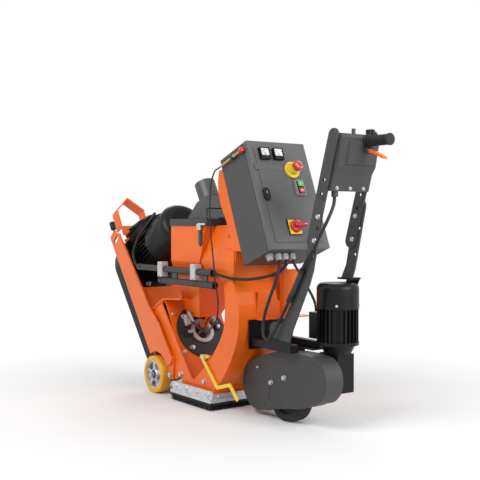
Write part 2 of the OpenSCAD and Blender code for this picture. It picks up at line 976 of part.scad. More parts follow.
// Flap in the feed spout that meters the shot; its shaft runs across both spout walls
module shot_valve() {
    color(steel)
        place() {
            crossBar(-162, 362, 5, -76, 60);
            upright([[-200, 360.5], [-124, 360.5], [-124, 363.5], [-200, 363.5]], -44, 44);
            upright([[-168, 368], [-156, 368], [-120, 330], [-124, 322], [-168, 350]], -76, -72);
        }
}

module conduits() {
    runs = [[-443, 147, 553], [-251, 162, 504]];
    color(black)
        place()
            for (r = runs)
                difference() {
                    union() {
                        alongX(14, r[0], r[1], -160, r[2]);
                        alongX(15.5, r[1] - 18, r[1] + 4, -160, r[2]);
                        alongX(15.5, r[0] - 4, r[0] + 18, -160, r[2]);
                    }
                    alongX(11, r[0] - 5, r[1] + 5, -160, r[2]);
                }
}

// Round bar along x
module alongX(r, xLow, xHigh, y, z) {
    translate([xLow, y, z])
        rotate([0, 90, 0])
            cylinder(h = xHigh - xLow, r = r);
}

module conduit_clamps() {
    color(castGrey)
        place() {
            box([-262, -146, 541], [50, -hopperHalf - 0.05, 565]);
            for (x = [-237, 27])
                difference() {
                    box([x - 17.5, -178, 520], [x + 17.5, -146, 584]);
                    alongX(14.3, x - 20, x + 20, -160, 553);
                }
            for (x = [-138, 93])
                difference() {
                    box([x - 19, -163, 510], [x + 19, -157, 547]);
                    alongX(14.3, x - 20, x + 20, -160, 553);
                    alongX(14.3, x - 20, x + 20, -160, 504);
                }
        }
}

// Routes of the fixed cables, in order: motor, shot valve, cabinet to conduit, cabinet to handle and to gear motor
motorRoute = [[-517.2, -67, 752.2], [-503, -67, 760.4], [-470, -76, 784], [-436, -86, 796], [-418, -100, 787],
    [-424, -118, 762], [-440, -132, 735], [-457, -144, 708], [-474, -152, 682], [-482, -158, 658],
    [-493, -162, 632], [-494, -165, 610], [-488, -165, 589], [-479, -162, 568], [-464, -160, 555],
    [-448, -160, 553]];
valveRoute = [[192.3, -152, 974.6], [178, -152, 968.8], [150, -153, 955], [129, -155, 905], [127, -158, 845], [133, -164, 797],
    [147, -170, 733], [166, -176, 666], [184, -180, 599], [190, -178, 528], [182, -158, 448],
    [159, -147, 372], [113, -147, 325], [50, -110, 300], [-30, -92, 300], [-96, -86, 318], [-119, -79, 327]];
conduitRoute = [[461.9, -39, 613.7], [467.3, -39, 600], [446, -56, 570], [400, -84, 550], [340, -116, 538],
    [270, -142, 536], [210, -156, 545], [168, -160, 552], [152, -160, 553]];
handleRoute = [[461.9, -71, 613.7], [467.3, -71, 600], [463, -84, 545], [447, -100, 480], [434, -114, 420],
    [430, -122, 370], [440, -126, 332], [462, -126, 320], [490, -124, 342], [530, -120, 400],
    [575, -116, 470], [622, -114, 545], [664, -114, 612], [712, -113, 668], [742, -108, 718],
    [762, -94, 768], [764, -74, 808], [757, -61, 832], [756, -60, 844.7]];
driveRoute = [[461.9, -3, 613.7], [467.3, -3, 600], [488, 10, 560], [512, 20, 520], [534, 29, 482], [548, 34, 450],
    [550, 36, 424]];

module cables() {
    color(black)
        place() {
            cable(motorRoute, 6, 8, 2);
            cable(valveRoute, 3, 8, 2);
            cable(conduitRoute, 6, 8, 2);
            cable(handleRoute, 6, 8, 2);
            cable(driveRoute, 5, 8, 2);
        }
}

// Box given in the cabinet's own frame: down the door, across, and out of the door
module cabinetBox(down, across, out) {
    translate([down[0], across[0], out[0]])
        cube([down[1] - down[0], across[1] - across[0], out[1] - out[0]]);
}

module cabinet_body() {
    half = cabinetWidth / 2;
    rim = -doorThickness - 2.5;
    color(darkGrey)
        place()
            onCabinet() {
                difference() {
                    cabinetBox([0, cabinetHeight], [-half, half], [rim - cabinetDepth, rim]);
                    cabinetBox([2, cabinetHeight - 2], [-half + 2, half - 2], [rim - cabinetDepth + 2, rim + 1]);
                }
                cabinetBox([20, cabinetHeight - 20], [-half + 22, half - 22],
                    [rim - cabinetDepth + 2, rim - cabinetDepth + 5]);
                cabinetBox([60, 200], [-70, 60], [rim - cabinetDepth + 5, rim - 60]);
            }
    color(darkGrey)
        place()
            onKnob()
                difference() {
                    translate([-8, -8, -70])
                        cube([16, 18.6, 14]);
                    translate([0, 0, -80])
                        cylinder(h = 40, r = 4.05);
                }
    color(castGrey)
        place()
            onCabinet()
                for (y = [-112, -71, -39, -3])
                    translate([cabinetHeight, y, -60])
                        rotate([0, 90, 0]) {
                            cylinder(h = 10, r = 14, $fn = 6);
                            translate([0, 0, 10])
                                cylinder(h = 12, r = 11.5);
                        }
}

// Where the door's hinge line runs, in the cabinet's own frame
hingeAcross = cabinetWidth / 2 + 4.5;
hingeOut = -doorThickness / 2 - 1;
hingeDowns = [70, 340];
// Where the start and off buttons sit on the door
startDown = 181;
offDown = 209;
pressAcross = 58;

// Pins and ears of the door's hinges, fixed to the right wall of the cabinet
module hingeEars() {
    half = cabinetWidth / 2;
    rim = -doorThickness - 2.5;
    color(steel)
        place()
            onCabinet()
                for (down = hingeDowns) {
                    translate([down - 7, hingeAcross, hingeOut])
                        rotate([0, 90, 0])
                            cylinder(h = 54, r = 2.5);
                    for (ear = [down - 8, down + 41]) {
                        translate([ear, hingeAcross, hingeOut])
                            rotate([0, 90, 0])
                                cylinder(h = 7, r = 4);
                        cabinetBox([ear, ear + 7], [hingeAcross, hingeAcross + 4], [rim - 16, hingeOut]);
                        cabinetBox([ear, ear + 7], [half, hingeAcross + 4], [rim - 16, rim - 1]);
                    }
                }
}

module cabinet_door() {
    half = cabinetWidth / 2;
    color(doorGrey)
        place()
            onCabinet() {
                difference() {
                    union() {
                        cabinetBox([0, cabinetHeight], [-half, half], [-doorThickness, 0]);
                        cabinetBox([28, cabinetHeight - 26], [-half + 26, half - 26], [-1, 3]);
                    }
                    cabinetBox([4, cabinetHeight - 4], [-half + 4, half - 4], [-doorThickness - 1, -4]);
                    for (p = [[startDown, pressAcross], [offDown, pressAcross], [120, 42], [356, -13], [222, -107]])
                        translate([p[0], p[1], -doorThickness - 1])
                            cylinder(h = doorThickness + 6, r = 9.5);
                }
                for (down = hingeDowns)
                    translate([down, hingeAcross, hingeOut])
                        rotate([0, 90, 0])
                            difference() {
                                cylinder(h = 40, r = 5);
                                translate([0, 0, -1])
                                    cylinder(h = 42, r = 2.55);
                            }
            }
}

// Meters, switch plate, lamp housing and collar of the stop button on the door
module door_fittings() {
    color(black)
        place()
            onCabinet() {
                for (y = [-75, -10])
                    difference() {
                        cabinetBox([32, 80], [y - 22, y + 22], [3.05, 18]);
                        cabinetBox([35, 66], [y - 19, y + 19], [15, 19]);
                    }
                difference() {
                    union() {
                        translate([120, 42, 3.05])
                            cylinder(h = 9, r = 33);
                        translate([120, 42, 3.05])
                            cylinder(h = 30, r = 23);
                    }
                    translate([120, 42, 2])
                        cylinder(h = 40, r = 9.05);
                }
                difference() {
                    translate([(startDown + offDown) / 2, pressAcross, 3.05])
                        linear_extrude(height = 12)
                            roundedRect(60, 38, 6);
                    for (down = [startDown, offDown])
                        translate([down, pressAcross, 2])
                            cylinder(h = 20, r = 8.05);
                }
                difference() {
                    cabinetBox([325, 387], [-44, 18], [3.05, 8]);
                    translate([356, -13, 2])
                        cylinder(h = 20, r = 9.05);
                }
            }
}

module stop_button() {
    color(red)
        place()
            onCabinet()
                translate([120, 42, 0]) {
                    translate([0, 0, -18])
                        cylinder(h = 58, r = 9);
                    rotate_extrude()
                        polygon([[0, 40], [14, 40], [20, 46], [20, 52], [14, 58], [0, 60]]);
                }
}

module doorButton(down, low) {
    translate([down, pressAcross, low])
        cylinder(h = 18 - low, r = 8);
}

module start_button() {
    color(green)
        place()
            onCabinet()
                doorButton(startDown, -16);
}

module off_button() {
    color(red)
        place()
            onCabinet()
                doorButton(offDown, -16);
}

module main_switch() {
    color(red)
        place()
            onCabinet()
                translate([356, -13, 0]) {
                    translate([0, 0, -20])
                        cylinder(h = 32, r = 9);
                    translate([0, 0, 8.1])
                        cylinder(h = 16, r = 24);
                    translate([-9, -20, 24])
                        cube([18, 56, 18]);
                }
}

module door_lock() {
    color(black)
        place()
            onCabinet()
                translate([222, -107, 0]) {
                    translate([0, 0, -20])
                        cylinder(h = 26, r = 9.45);
                    translate([0, 0, 3.1])
                        linear_extrude(height = 7)
                            roundedRect(53, 28, 13.9);
                    translate([-9, -26, -20])
                        cube([18, 34, 4]);
                }
}

// Curved bracket plates that carry the cabinet, with their shoulder on the separator
module cabinet_brackets() {
    color(orange)
        place()
            bothSides() {
                difference() {
                    upright(concat([[182, 968]], smoothed([[150, 962], [142, 900], [160, 830], [200, 760], [214, 720],
                        [196, 690]], 4), [[196, 660], [258, 644], [312, 644]]), -130, -124);

                    crossBar(220, 700, 5, -132, -110);
                }
            }
    color(orange)
        place() {
            box([258.4, -130, 600], [264, 130, 650]);
            onCabinet()
                cabinetBox([60, 420], [-130, -88], [-doorThickness - cabinetDepth - 8.6, -doorThickness - cabinetDepth - 2.6]);
            onCabinet()
                cabinetBox([60, 420], [88, 130], [-doorThickness - cabinetDepth - 8.6, -doorThickness - cabinetDepth - 2.6]);
        }
}

// Pull knob for the shot valve: red tee on a brass rod beside the cabinet
module valve_knob() {
    color(red)
        place()
            onKnob() {
                translate([0, 0, -13])
                    cylinder(h = 24, r = 10);
                translate([0, 0, -150])
                    cylinder(h = 140, r = 4);
            }
}

// Local z runs out along the knob's rod
module onKnob() {
    translate([332, -cabinetWidth / 2 - 10.7, 1031])
        rotate([0, 68, 0])
            children();
}

armInner = armSpan / 2 - armThickness;
armOuter = armSpan / 2;
lowerOuter = armOuter + armThickness;

// Flat bar with round ends between two points of the x-z plane
module flatBar(a, b, width, yLow, yHigh) {
    n = leftOf(a, b) * width / 2;
    upright([a + n, b + n, b - n, a - n], yLow, yHigh);
    crossBar(a[0], a[1], width / 2, yLow, yHigh);
    crossBar(b[0], b[1], width / 2, yLow, yHigh);
}

// Two bolted flat bars on each side with a row of adjusting holes
module handle_arms() {
    color(darkGrey)
        place()
            difference() {
                bothSides()
                    oneArm();
                box([400, 0, 200], [760, 200, 552.2]);
            }
}

module oneArm() {
    foot = [474, 355];
    difference() {
        flatBar([676, 688], [789, 1054], armWidth, -armOuter, -armInner);
        for (p = [[743, 905], [728, 856], [713, 808]])
            crossBar(p[0], p[1], 6.5, -armOuter - 1, -armInner + 1);
    }
    difference() {
        union() {
            upright([[517, 379], [593, 496], [648, 602], [698, 823], [746, 809], [692, 585],
                [673, 539], [566, 340]], -lowerOuter, -armOuter - 0.1);
            crossBar(722, 816, 25, -lowerOuter, -armOuter - 0.1);
            upright([[480, 325], [452, 345], [500, 379], [540, 392], [580, 366], [560, 318]],
                -lowerOuter, -armOuter - 0.1);
            crossBar(foot[0], foot[1], 30, -lowerOuter, -armOuter - 0.1);
        }
        for (p = [[716, 735], [694, 640]])
            crossBar(p[0], p[1], 6.5, -lowerOuter - 1, -armOuter + 1);
    }
}

// Folded pan between the arms that holds the operating controls
module handle_box() {
    outline = [[744, 866], [771, 864], [788, 922], [806, 948], [828, 1046], [822, 1060], [796, 1062], [752, 930]];
    inside = [[748, 869], [768, 868], [785, 924], [803, 950], [824, 1045], [820, 1057], [799, 1058], [755, 928]];
    color(darkGrey)
        place() {
            difference() {
                upright(outline, -armInner + 0.3, armInner - 0.3);
                upright(inside, -armInner + 3.3, armInner - 3.3);
                translate([809, 60, 1040])
                    cylinder(h = 40, r = 5.05);
            }
            translate([758, -60, 845])
                cylinder(h = 22, r = 12);
            translate([809, -20, 1059])
                cylinder(h = 20, r = 7);
            for (y = [14, 40])
                box([817.5, y, 996], [842, y + 5, 1014]);
        }
}

module handle_grip() {
    start = gripStart + 19.3;
    color(black)
        place() {
            alongX(gripRadius + 6, start, start + 8, 30, 1037);
            alongX(gripRadius - 3, start + 8, gripTipX, 30, 1037);
            for (i = [0:8])
                alongX(gripRadius, start + 13 + 10 * i, start + 19 + 10 * i, 30, 1037);
            alongX(gripRadius + 2, gripTipX - 8, gripTipX, 30, 1037);
        }
}

module speed_knob() {
    color(black)
        place()
            translate([809, 60, 0]) {
                translate([0, 0, 1052])
                    cylinder(h = 14, r = 5);
                translate([0, 0, 1062.3])
                    cylinder(h = 18, r = 16, $fn = 48);
                translate([0, -2, 1080])
                    cube([14, 4, 3]);
            }
}

// Dead-man lever under the grip
module drive_lever() {
    color(orange)
        place()
            difference() {
                union() {
                    crossBar(836, 1004, 7, 19.3, 39.7);
                    upright([[834, 998], [834, 1008], [862, 1002], [912, 978], [909, 972], [860, 994]], 19.5, 39.5);
                }
                crossBar(836, 1004, 3.05, 18, 41);
            }
}

// Drive wheel, gearbox output and gear motor: places in x-z, x-z and x-y
coverAxle = [454, driveRadius];
gearOut = [623, 182];
gearAxis = [640, 63];
coverNear = -54;
coverFar = 26;
wheelMiddle = -8;
chainPlane = -46;

// Outline of the drive cover, pulled in by g, with the given lower edge
module coverShape(g, underside, yLow, yHigh) {
    upright(concat([[277, 216 - g], [346, 244 - g], [424, 264 - g], [510, 271 - g], [581, 272 - g],
        [623, 270.5 - g], [634, 94 + g]], underside, [[345, 28 + g]]), yLow, yHigh);
    crossBar(308, 121, 100 - g, yLow, yHigh);
    crossBar(gearOut[0], gearOut[1], 88.5 - g, yLow, yHigh);
}

// Shell round the drive wheel and its chain, open underneath
module drive_cover() {
    wall = 3;
    color(darkGrey)
        place()
            difference() {
                coverShape(0, [[600, 80], [556, 66], [500, 59], [440, 47], [385, 31]], coverNear, coverFar);
                coverShape(wall, [[562, 90], [562, -20], [366, -20], [366, 40]], coverNear + wall, coverFar - wall);
                crossBar(coverAxle[0], coverAxle[1], axleRadius + runningGap, coverFar - 10, coverFar + 10);
                crossBar(gearOut[0], gearOut[1], 15, coverFar - 10, coverFar + 10);
            }
}

module drive_wheel() {
    half = driveWidth / 2;
    color(black)
        place() {
            crossBar(coverAxle[0], coverAxle[1], axleRadius, coverNear + 5, coverFar + 14);
            difference() {
                crossBar(coverAxle[0], coverAxle[1], driveRadius, wheelMiddle - half, wheelMiddle + half);
                crossBar(coverAxle[0], coverAxle[1], driveRadius - 28, wheelMiddle + half - 7, 80);
                crossBar(coverAxle[0], coverAxle[1], driveRadius - 28, -80, wheelMiddle - half + 7);
            }
            crossBar(coverAxle[0], coverAxle[1], 30, wheelMiddle - half - 1, wheelMiddle + half + 1);
            sprocket(coverAxle, 48, 20);
        }
}

// Toothed disc in the chain's plane
module sprocket(centre, r, teeth) {
    difference() {
        crossBar(centre[0], centre[1], r, chainPlane, chainPlane + 5);
        for (i = [0:teeth - 1])
            crossBar(centre[0] + r * cos(i * 360 / teeth), centre[1] + r * sin(i * 360 / teeth), 4.2,
                chainPlane - 1, chainPlane + 6);
    }
}

module drive_sprocket() {
    color(steel)
        place() {
            sprocket(gearOut, 34, 14);
            crossBar(gearOut[0], gearOut[1], 12, chainPlane - 1, coverFar + 30);
        }
}

module drive_chain() {
    a = 45.5;
    b = 31.5;
    span = norm(gearOut - coverAxle);
    tilt = asin((a - b) / span);
    turn = atan2(gearOut[1] - coverAxle[1], gearOut[0] - coverAxle[0]);
    color(steel)
        place()
            translate([coverAxle[0], chainPlane + 4, coverAxle[1]])
                rotate([90, 0, 0])
                    rotate([0, 0, turn])
                        linear_extrude(height = 3)
                            difference() {
                                chainShape(a + 8, b + 8, span, tilt);
                                chainShape(a + 3.2, b + 3.2, span, tilt);
                            }
}

module chainShape(a, b, span, tilt) {
    circle(r = a);
    translate([span, 0])
        circle(r = b);
    polygon([[a * sin(tilt), a * cos(tilt)], [span + b * sin(tilt), b * cos(tilt)],
        [span + b * sin(tilt), -b * cos(tilt)], [a * sin(tilt), -a * cos(tilt)]]);
}

// Gear motor standing on its gearbox beside the drive cover
module gear_motor() {
    mx = gearAxis[0];
    my = gearAxis[1];
    color(black)
        place() {
            translate([mx, my, 0]) {
                translate([0, 0, 274])
                    cylinder(h = 34, r1 = 48, r2 = 66);
                translate([0, 0, 308])
                    cylinder(h = 12, r = gearCowlRadius);
                translate([0, 0, 319])
                    cylinder(h = 123, r = gearCowlRadius - 12);
                for (i = [0:gearFins - 1])
                    rotate([0, 0, (i + 0.5) * 360 / gearFins])
                        translate([gearCowlRadius - 14, -1.5, 318])
                            cube([12, 3, 125]);
                translate([0, 0, 441])
                    cylinder(h = 72, r = gearCowlRadius);
                translate([0, 0, 513])
                    rotate_extrude()
                        union() {
                            square([gearCowlRadius - 22, 22]);
                            intersection() {
                                translate([gearCowlRadius - 22, 0])
                                    circle(r = 22);
                                square([gearCowlRadius + 10, 40]);
                            }
                        }
            }
            box([mx - 116, my - 40, 322], [mx - 52, my + 40, 420]);
            difference() {
                box([mx - 62, coverFar + 3, 132], [mx + 38, my + 46, 274]);
                crossBar(gearOut[0], gearOut[1], 12 + runningGap, coverFar, coverFar + 34);
            }
        }
}

// Beams and plates that carry the drive unit and the feet of the arms behind the blast head
module drive_frame() {
    stayLow = gearAxis[1] + gearCowlRadius + 3;
    stayHigh = stayLow + armThickness;
    color(black)
        place() {
            box([308, -88, 276], [560, -60, 306]);
            box([308, 60, 276], [540, 88, 306]);
            upright([[422, 276], [422, 318], [452, 372], [476, 386], [520, 372], [559, 306], [559, 276]],
                -armOuter, -armInner + 0.5);
            box([302.4, -96, 262], [308, 96, 375.9]);
            box([384, coverFar + 2, 275], [540, stayHigh, 279]);
            difference() {
                upright([[424, 276], [484, 276], [476, 84], [432, 84]], coverFar + 2, coverFar + 12);
                crossBar(coverAxle[0], coverAxle[1], axleRadius + runningGap, coverFar, coverFar + 20);
            }
            upright([[606, 552], [668, 552], [560, 340], [538, 275], [470, 275], [506, 372]], stayLow, stayHigh);
            box([600, armOuter + 0.1, 545], [668, stayHigh, 552]);
        }
}

// Half-round cover for the mixed-air duct and the bracket plate below it
module rear_bracket() {
    color(orange)
        place() {
            difference() {
                translate([304, 104, 381.3])
                    cylinder(h = 188, r = 41);
                translate([304, 104, 380])
                    cylinder(h = 186, r = 38);
                box([200, 40, 340], [304, 160, 580]);
            }
            box([300.3, 60, 381.1], [304, 148, 569]);
            lengthways([[-60, 376.2], [-44, 494], [0, 476], [60, 440], [60, 376.2]], 300.3, 304);
            box([300.3, -66, 376.2], [345, 182, 381]);
        }
}

// Cranked lever on the left side plate
module depth_lever() {
    color(yellow)
        place()
            difference() {
                union() {
                    upright(band([[44, 200], [160, 87], [246, 111], [297, 62]], 14), -150, -144);
                    upright([[38, 198], [44, 214], [104, 216], [104, 208], [60, 200]], -150, -144);
                    crossBar(70, 205, 12, -150, -144);
                }
                crossBar(70, 205, 5.05, -160, -130);
            }
}

casterX = -310;

module caster(side) {
    color(amber)
        place()
            mirror([0, side > 0 ? 1 : 0, 0])
                translate([casterX, -146, casterRadius])
                    rotate([90, 0, 0])
                        translate([0, 0, -casterWidth / 2])
                            difference() {
                                union() {
                                    cylinder(h = casterWidth, r = casterRadius - 3, $fn = 96);
                                    translate([0, 0, 5])
                                        cylinder(h = casterWidth - 10, r = casterRadius, $fn = 96);
                                }
                                translate([0, 0, casterWidth - 12])
                                    cylinder(h = 13, r = casterRadius - 18);
                                translate([0, 0, -1])
                                    cylinder(h = 13, r = casterRadius - 18);
                                translate([0, 0, -1])
                                    cylinder(h = casterWidth + 2, r = axleRadius + runningGap);
                            }
}

module caster_left() {
    caster(-1);
}

module caster_right() {
    caster(1);
}

pivot = [-192, 96];

// Lift lever with its link, the pivot shaft, the axle arms and the axle
module lift_lever() {
    color(orange)
        place() {
            difference() {
                upright([[-738, 680], [-710, 698], [-650, 701], [-418, 441], [-374, 385], [-285, 312], [-172, 172],
                    [-178, 148], [-200, 135], [-330, 135], [-357, 172]], -158, -150);
                crossBar(-298, 88, 96, -160, -148);
                flatBarHole([-690, 660], [-668, 680]);
            }
            upright([[-206, 76], [-176, 78], [-168, 168], [-210, 196], [-236, 196], [-222, 150], [-212, 96]],
                -149.5, -141);
            flatBar([-192, 96], [casterX, casterRadius], 38, -118, -110);
            flatBar([-192, 96], [casterX, casterRadius], 38, 110, 118);
            crossBar(pivot[0], pivot[1], axleRadius, -158, 158);
            crossBar(casterX, casterRadius, axleRadius, -184, 184);
            difference() {
                upright([[-738, 681], [-712, 699], [-692, 699], [-718, 712], [-744, 690]], -149.5, -132);
                onPlunger()
                    translate([0, 0, -40])
                        cylinder(h = 80, r = 5.05);
            }
        }
}

module flatBarHole(a, b) {
    flatBar(a, b, 22, -160, -148);
}

module onPlunger() {
    translate([-720, -141, 694])
        rotate([0, -axisLean, 0])
            children();
}

// Spring plunger at the end of the lift lever
module index_plunger() {
    color(black)
        place()
            onPlunger() {
                translate([0, 0, -22])
                    cylinder(h = 60, r = 5);
                translate([0, 0, 30])
                    cylinder(h = 36, r = 13);
            }
}

module bolts() {
    railBolts();
    frameBolts();
    hingeEars();
}

base_ring();
seal_rails();
brush_left();
brush_right();
brush_front();
brush_rear();
side_plates();
wheel_chamber();
rebound_duct();
motor_stand();
bolts();
cage_plate();
bearing_housing();
drive_belts();
motor_plate();
belt_guard();
lift_bail();
motor_body();
motor_cowl();
terminal_box();
hopper();
separator();
cables();
conduits();
conduit_clamps();
cabinet_body();
cabinet_brackets();
handle_arms();
handle_box();
handle_grip();
drive_cover();
gear_motor();
drive_frame();
rear_bracket();
drive_chain();
control_cage();
blast_wheel();
wheel_shaft();
motor_rotor();
hopper_lid();
dust_outlet();
lid_latch();
shot_valve();
valve_knob();
cabinet_door();
door_fittings();
stop_button();
start_button();
off_button();
main_switch();
door_lock();
speed_knob();
drive_lever();
drive_wheel();
drive_sprocket();
depth_lever();
caster_left();
caster_right();
lift_lever();
index_plunger();
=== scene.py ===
import math
import bmesh
import bpy
import numpy as np
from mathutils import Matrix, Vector


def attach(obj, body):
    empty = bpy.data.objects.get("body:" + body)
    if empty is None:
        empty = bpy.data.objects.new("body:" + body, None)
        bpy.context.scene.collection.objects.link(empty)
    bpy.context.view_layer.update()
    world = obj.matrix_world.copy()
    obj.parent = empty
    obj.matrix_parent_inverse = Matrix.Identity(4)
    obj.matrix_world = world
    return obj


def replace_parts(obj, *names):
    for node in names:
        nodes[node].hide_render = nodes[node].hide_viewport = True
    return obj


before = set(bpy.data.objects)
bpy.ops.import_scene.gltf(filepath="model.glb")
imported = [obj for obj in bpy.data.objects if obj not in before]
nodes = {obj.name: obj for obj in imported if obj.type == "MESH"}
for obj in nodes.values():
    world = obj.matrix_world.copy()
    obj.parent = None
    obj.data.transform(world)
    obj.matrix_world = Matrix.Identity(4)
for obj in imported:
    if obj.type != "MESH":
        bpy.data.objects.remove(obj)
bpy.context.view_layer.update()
chance = np.random.default_rng(7)
print("frame loaded, nodes:", len(nodes))

# places are drawn in millimetres from the middle of the seal frame
seatShift = -31.467024                     # where that middle stands along the machine's x
lean = math.radians(30)                    # wheel axis above level
cabinetLean = math.radians(21.6)           # door back from upright
wheelCentre = (-180, 0, 273)
doorHead = (347, 0, 1067)                  # middle of the door's upper edge


def metres(points):
    # millimetres measured from the middle of the seal frame, turned into the machine's own metres
    return (np.asarray(points, float) + [seatShift, 0, 0]) * 0.001


class Setting:
    # an origin and three directions in which a piece is drawn, in millimetres
    def __init__(self, origin, x, y, z):
        self.origin = np.array(origin, float)
        self.axes = np.array([x, y, z], float)

    def metres(self, points):
        return metres(np.asarray(points, float) @ self.axes + self.origin)

    def at(self, x, y, z=0.0):
        # the same directions from another point
        return Setting(self.origin + np.array([x, y, z]) @ self.axes, *self.axes)


axisOut = np.array([math.cos(lean), 0, math.sin(lean)])
axisUp = np.array([-math.sin(lean), 0, math.cos(lean)])


def onAxis(along=0, up=0):
    # local x runs down across the wheel axis, y across the machine, z out along the axis
    return Setting(np.array(wheelCentre) + along * axisOut + up * axisUp, -axisUp, (0, 1, 0), axisOut)


doorDown = (math.sin(cabinetLean), 0, -math.cos(cabinetLean))
doorOut = (math.cos(cabinetLean), 0, math.sin(cabinetLean))
onDoor = Setting(doorHead, doorDown, (0, 1, 0), doorOut)
# seen squarely from each side, with x level, y up and z out of the machine
leftFace = Setting((0, 0, 0), (1, 0, 0), (0, 0, 1), (0, -1, 0))
rightFace = Setting((0, 0, 0), (1, 0, 0), (0, 0, 1), (0, 1, 0))
rearFace = Setting((0, 0, 0), (0, 1, 0), (0, 0, 1), (1, 0, 0))
frontFace = Setting((0, 0, 0), (0, 1, 0), (0, 0, 1), (-1, 0, 0))


class Signal:
    # a socket on a sheet of nodes; sums written with it add their own Math nodes
    def __init__(self, sheet, socket):
        self.sheet = sheet
        self.socket = socket

    def sum(self, operation, first, second):
        return self.sheet.add("ShaderNodeMath", {"operation": operation}, {0: first, 1: second})

    def __add__(self, other):
        return self.sum("ADD", self, other)

    def __radd__(self, other):
        return self.sum("ADD", other, self)

    def __sub__(self, other):
        return self.sum("SUBTRACT", self, other)

    def __rsub__(self, other):
        return self.sum("SUBTRACT", other, self)

    def __mul__(self, other):
        return self.sum("MULTIPLY", self, other)

    def __rmul__(self, other):
        return self.sum("MULTIPLY", other, self)

    def __gt__(self, other):
        return self.sum("GREATER_THAN", self, other)

    def __lt__(self, other):
        return self.sum("LESS_THAN", self, other)

    def __pow__(self, other):
        return self.sum("POWER", self, other)

    def clamped(self):
        return self.sheet.add("ShaderNodeClamp", {}, {0: self})

    def steps(self, low, high):
        # 0 under low, 1 over high, a straight ramp between them
        return ((self - low) * (1 / (high - low))).clamped()


class Sheet:
    # a sheet of shader nodes; add sets a node's settings first, then its sockets, and gives one output
    def __init__(self, tree):
        self.tree = tree

    def add(self, kind, settings, sockets, out=0):
        node = self.tree.nodes.new(kind)
        for name, value in settings.items():
            setattr(node, name, value)
        for name, value in sockets.items():
            if isinstance(value, Signal):
                self.tree.links.new(value.socket, node.inputs[name])
            else:
                node.inputs[name].default_value = value
        return Signal(self, node.outputs[out])

    def seenDirectly(self):
        # 1 for the camera and for what polished and clear surfaces show, 0 for light that falls on the object
        rays = ("Is Camera Ray", "Is Glossy Ray", "Is Transmission Ray")
        return sum(self.add("ShaderNodeLightPath", {}, {}, name) for name in rays).clamped()

    def close(self, share, lit, plain, output):
        # the first shader where the share is 0, the second where it is 1
        blend = self.add("ShaderNodeMixShader", {}, {0: share, 1: lit, 2: plain})
        self.tree.links.new(blend.socket, self.tree.nodes[output].inputs["Surface"])


coatRough = 0.08                           # clear coat, where a finish has one
# how fine each pattern is, in waves to the metre; dusty is where dust lies, in metres above the floor
grain = {"drift": 5, "speck": 240, "dust": 30, "peel": 420, "softPeel": 160, "cloud": 18, "pits": 700,
         "streakAlong": 18, "streakAcross": 840, "spot": 60, "bloom": 35, "skin": 500, "spangle": 90,
         "etch": 900, "dusty": (0.01, 0.2)}


class Finish(Sheet):
    # one material with its shader; the pattern space is the piece's own Object coordinates, in metres
    def __init__(self, name, colour, rough, metal=0.0, coat=0.0):
        self.material = bpy.data.materials.new(name)
        self.material.use_nodes = True
        super().__init__(self.material.node_tree)
        self.shader = self.tree.nodes["Principled BSDF"]
        self.set("Base Color", colour)
        self.set("Roughness", rough)
        self.set("Metallic", metal)
        self.set("Coat Weight", coat)
        self.set("Coat Roughness", coatRough)
        self.place = self.add("ShaderNodeTexCoord", {}, {}, "Object")

    def set(self, name, value):
        socket = self.shader.inputs[name]
        if isinstance(value, Signal):
            self.tree.links.new(value.socket, socket)
        elif name.endswith("Color"):
            socket.default_value = (*value, 1)
        else:
            socket.default_value = value

    def noise(self, scale, detail=3.0, rough=0.55, where=None):
        # cloudy pattern of 0 to 1
        return self.add("ShaderNodeTexNoise", {}, {"Vector": where or self.place, "Scale": scale,
                                                   "Detail": detail, "Roughness": rough})

    def stretched(self, x, y, z):
        return self.add("ShaderNodeMapping", {}, {"Vector": self.place, "Scale": (x, y, z)})

    def axis(self, index):
        # one coordinate of the place, in metres: 0 along, 1 across, 2 up
        return self.add("ShaderNodeSeparateXYZ", {}, {0: self.place}, index)

    def mixed(self, share, first, second):
        # the first colour where the share is 0, the second where it is 1
        first, second = [(*c, 1) if isinstance(c, tuple) else c for c in (first, second)]
        return self.add("ShaderNodeMix", {"data_type": "RGBA"}, {0: share, 6: first, 7: second}, 2)

    def raised(self, height, depth):
        # height of 0 to 1 stands depth metres proud
        bump = self.add("ShaderNodeBump", {}, {"Strength": 1.0, "Distance": depth, "Height": height})
        self.set("Normal", bump)


def powderCoat(name, colour, rough, peel=0.00022, coat=0.35, shade=0.82, dust=(0.42, 0.38, 0.34), gloss=0.5):
    # gloss powder coat: orange peel, slow tone drift, pale dust low down and fine rubbed specks
    f = Finish(name, colour, rough, 0.0, coat)
    f.set("Specular IOR Level", gloss)
    drift = f.noise(grain["drift"], 2)
    speck = f.noise(grain["speck"], 2)
    low = 1 - f.axis(2).steps(*grain["dusty"])
    dusty = (low * f.noise(grain["dust"], 4).steps(0.5, 0.75) * 0.22).clamped()
    darker = tuple(c * shade for c in colour)
    toned = f.mixed(drift.steps(0.35, 0.7), darker, colour)
    f.set("Base Color", f.mixed(dusty, toned, dust))
    f.set("Roughness", (rough + drift * 0.08 + speck * 0.05 + dusty * 0.5).clamped())
    f.raised(f.noise(grain["peel"], 2) * 0.7 + f.noise(grain["softPeel"], 1) * 0.3, peel)
    return f.material


def casting(name, colour, rough, metal, pitDepth=0.0004, coat=0.0, gloss=0.5):
    # cast or moulded skin with a fine pitted grain
    f = Finish(name, colour, rough, metal, coat)
    f.set("Specular IOR Level", gloss)
    cloud = f.noise(grain["cloud"], 3)
    f.set("Base Color", f.mixed(cloud.steps(0.35, 0.7), tuple(c * 0.75 for c in colour), colour))
    f.set("Roughness", (rough + cloud * 0.12).clamped())
    f.raised(f.noise(grain["pits"], 3, 0.7), pitDepth)
    return f.material


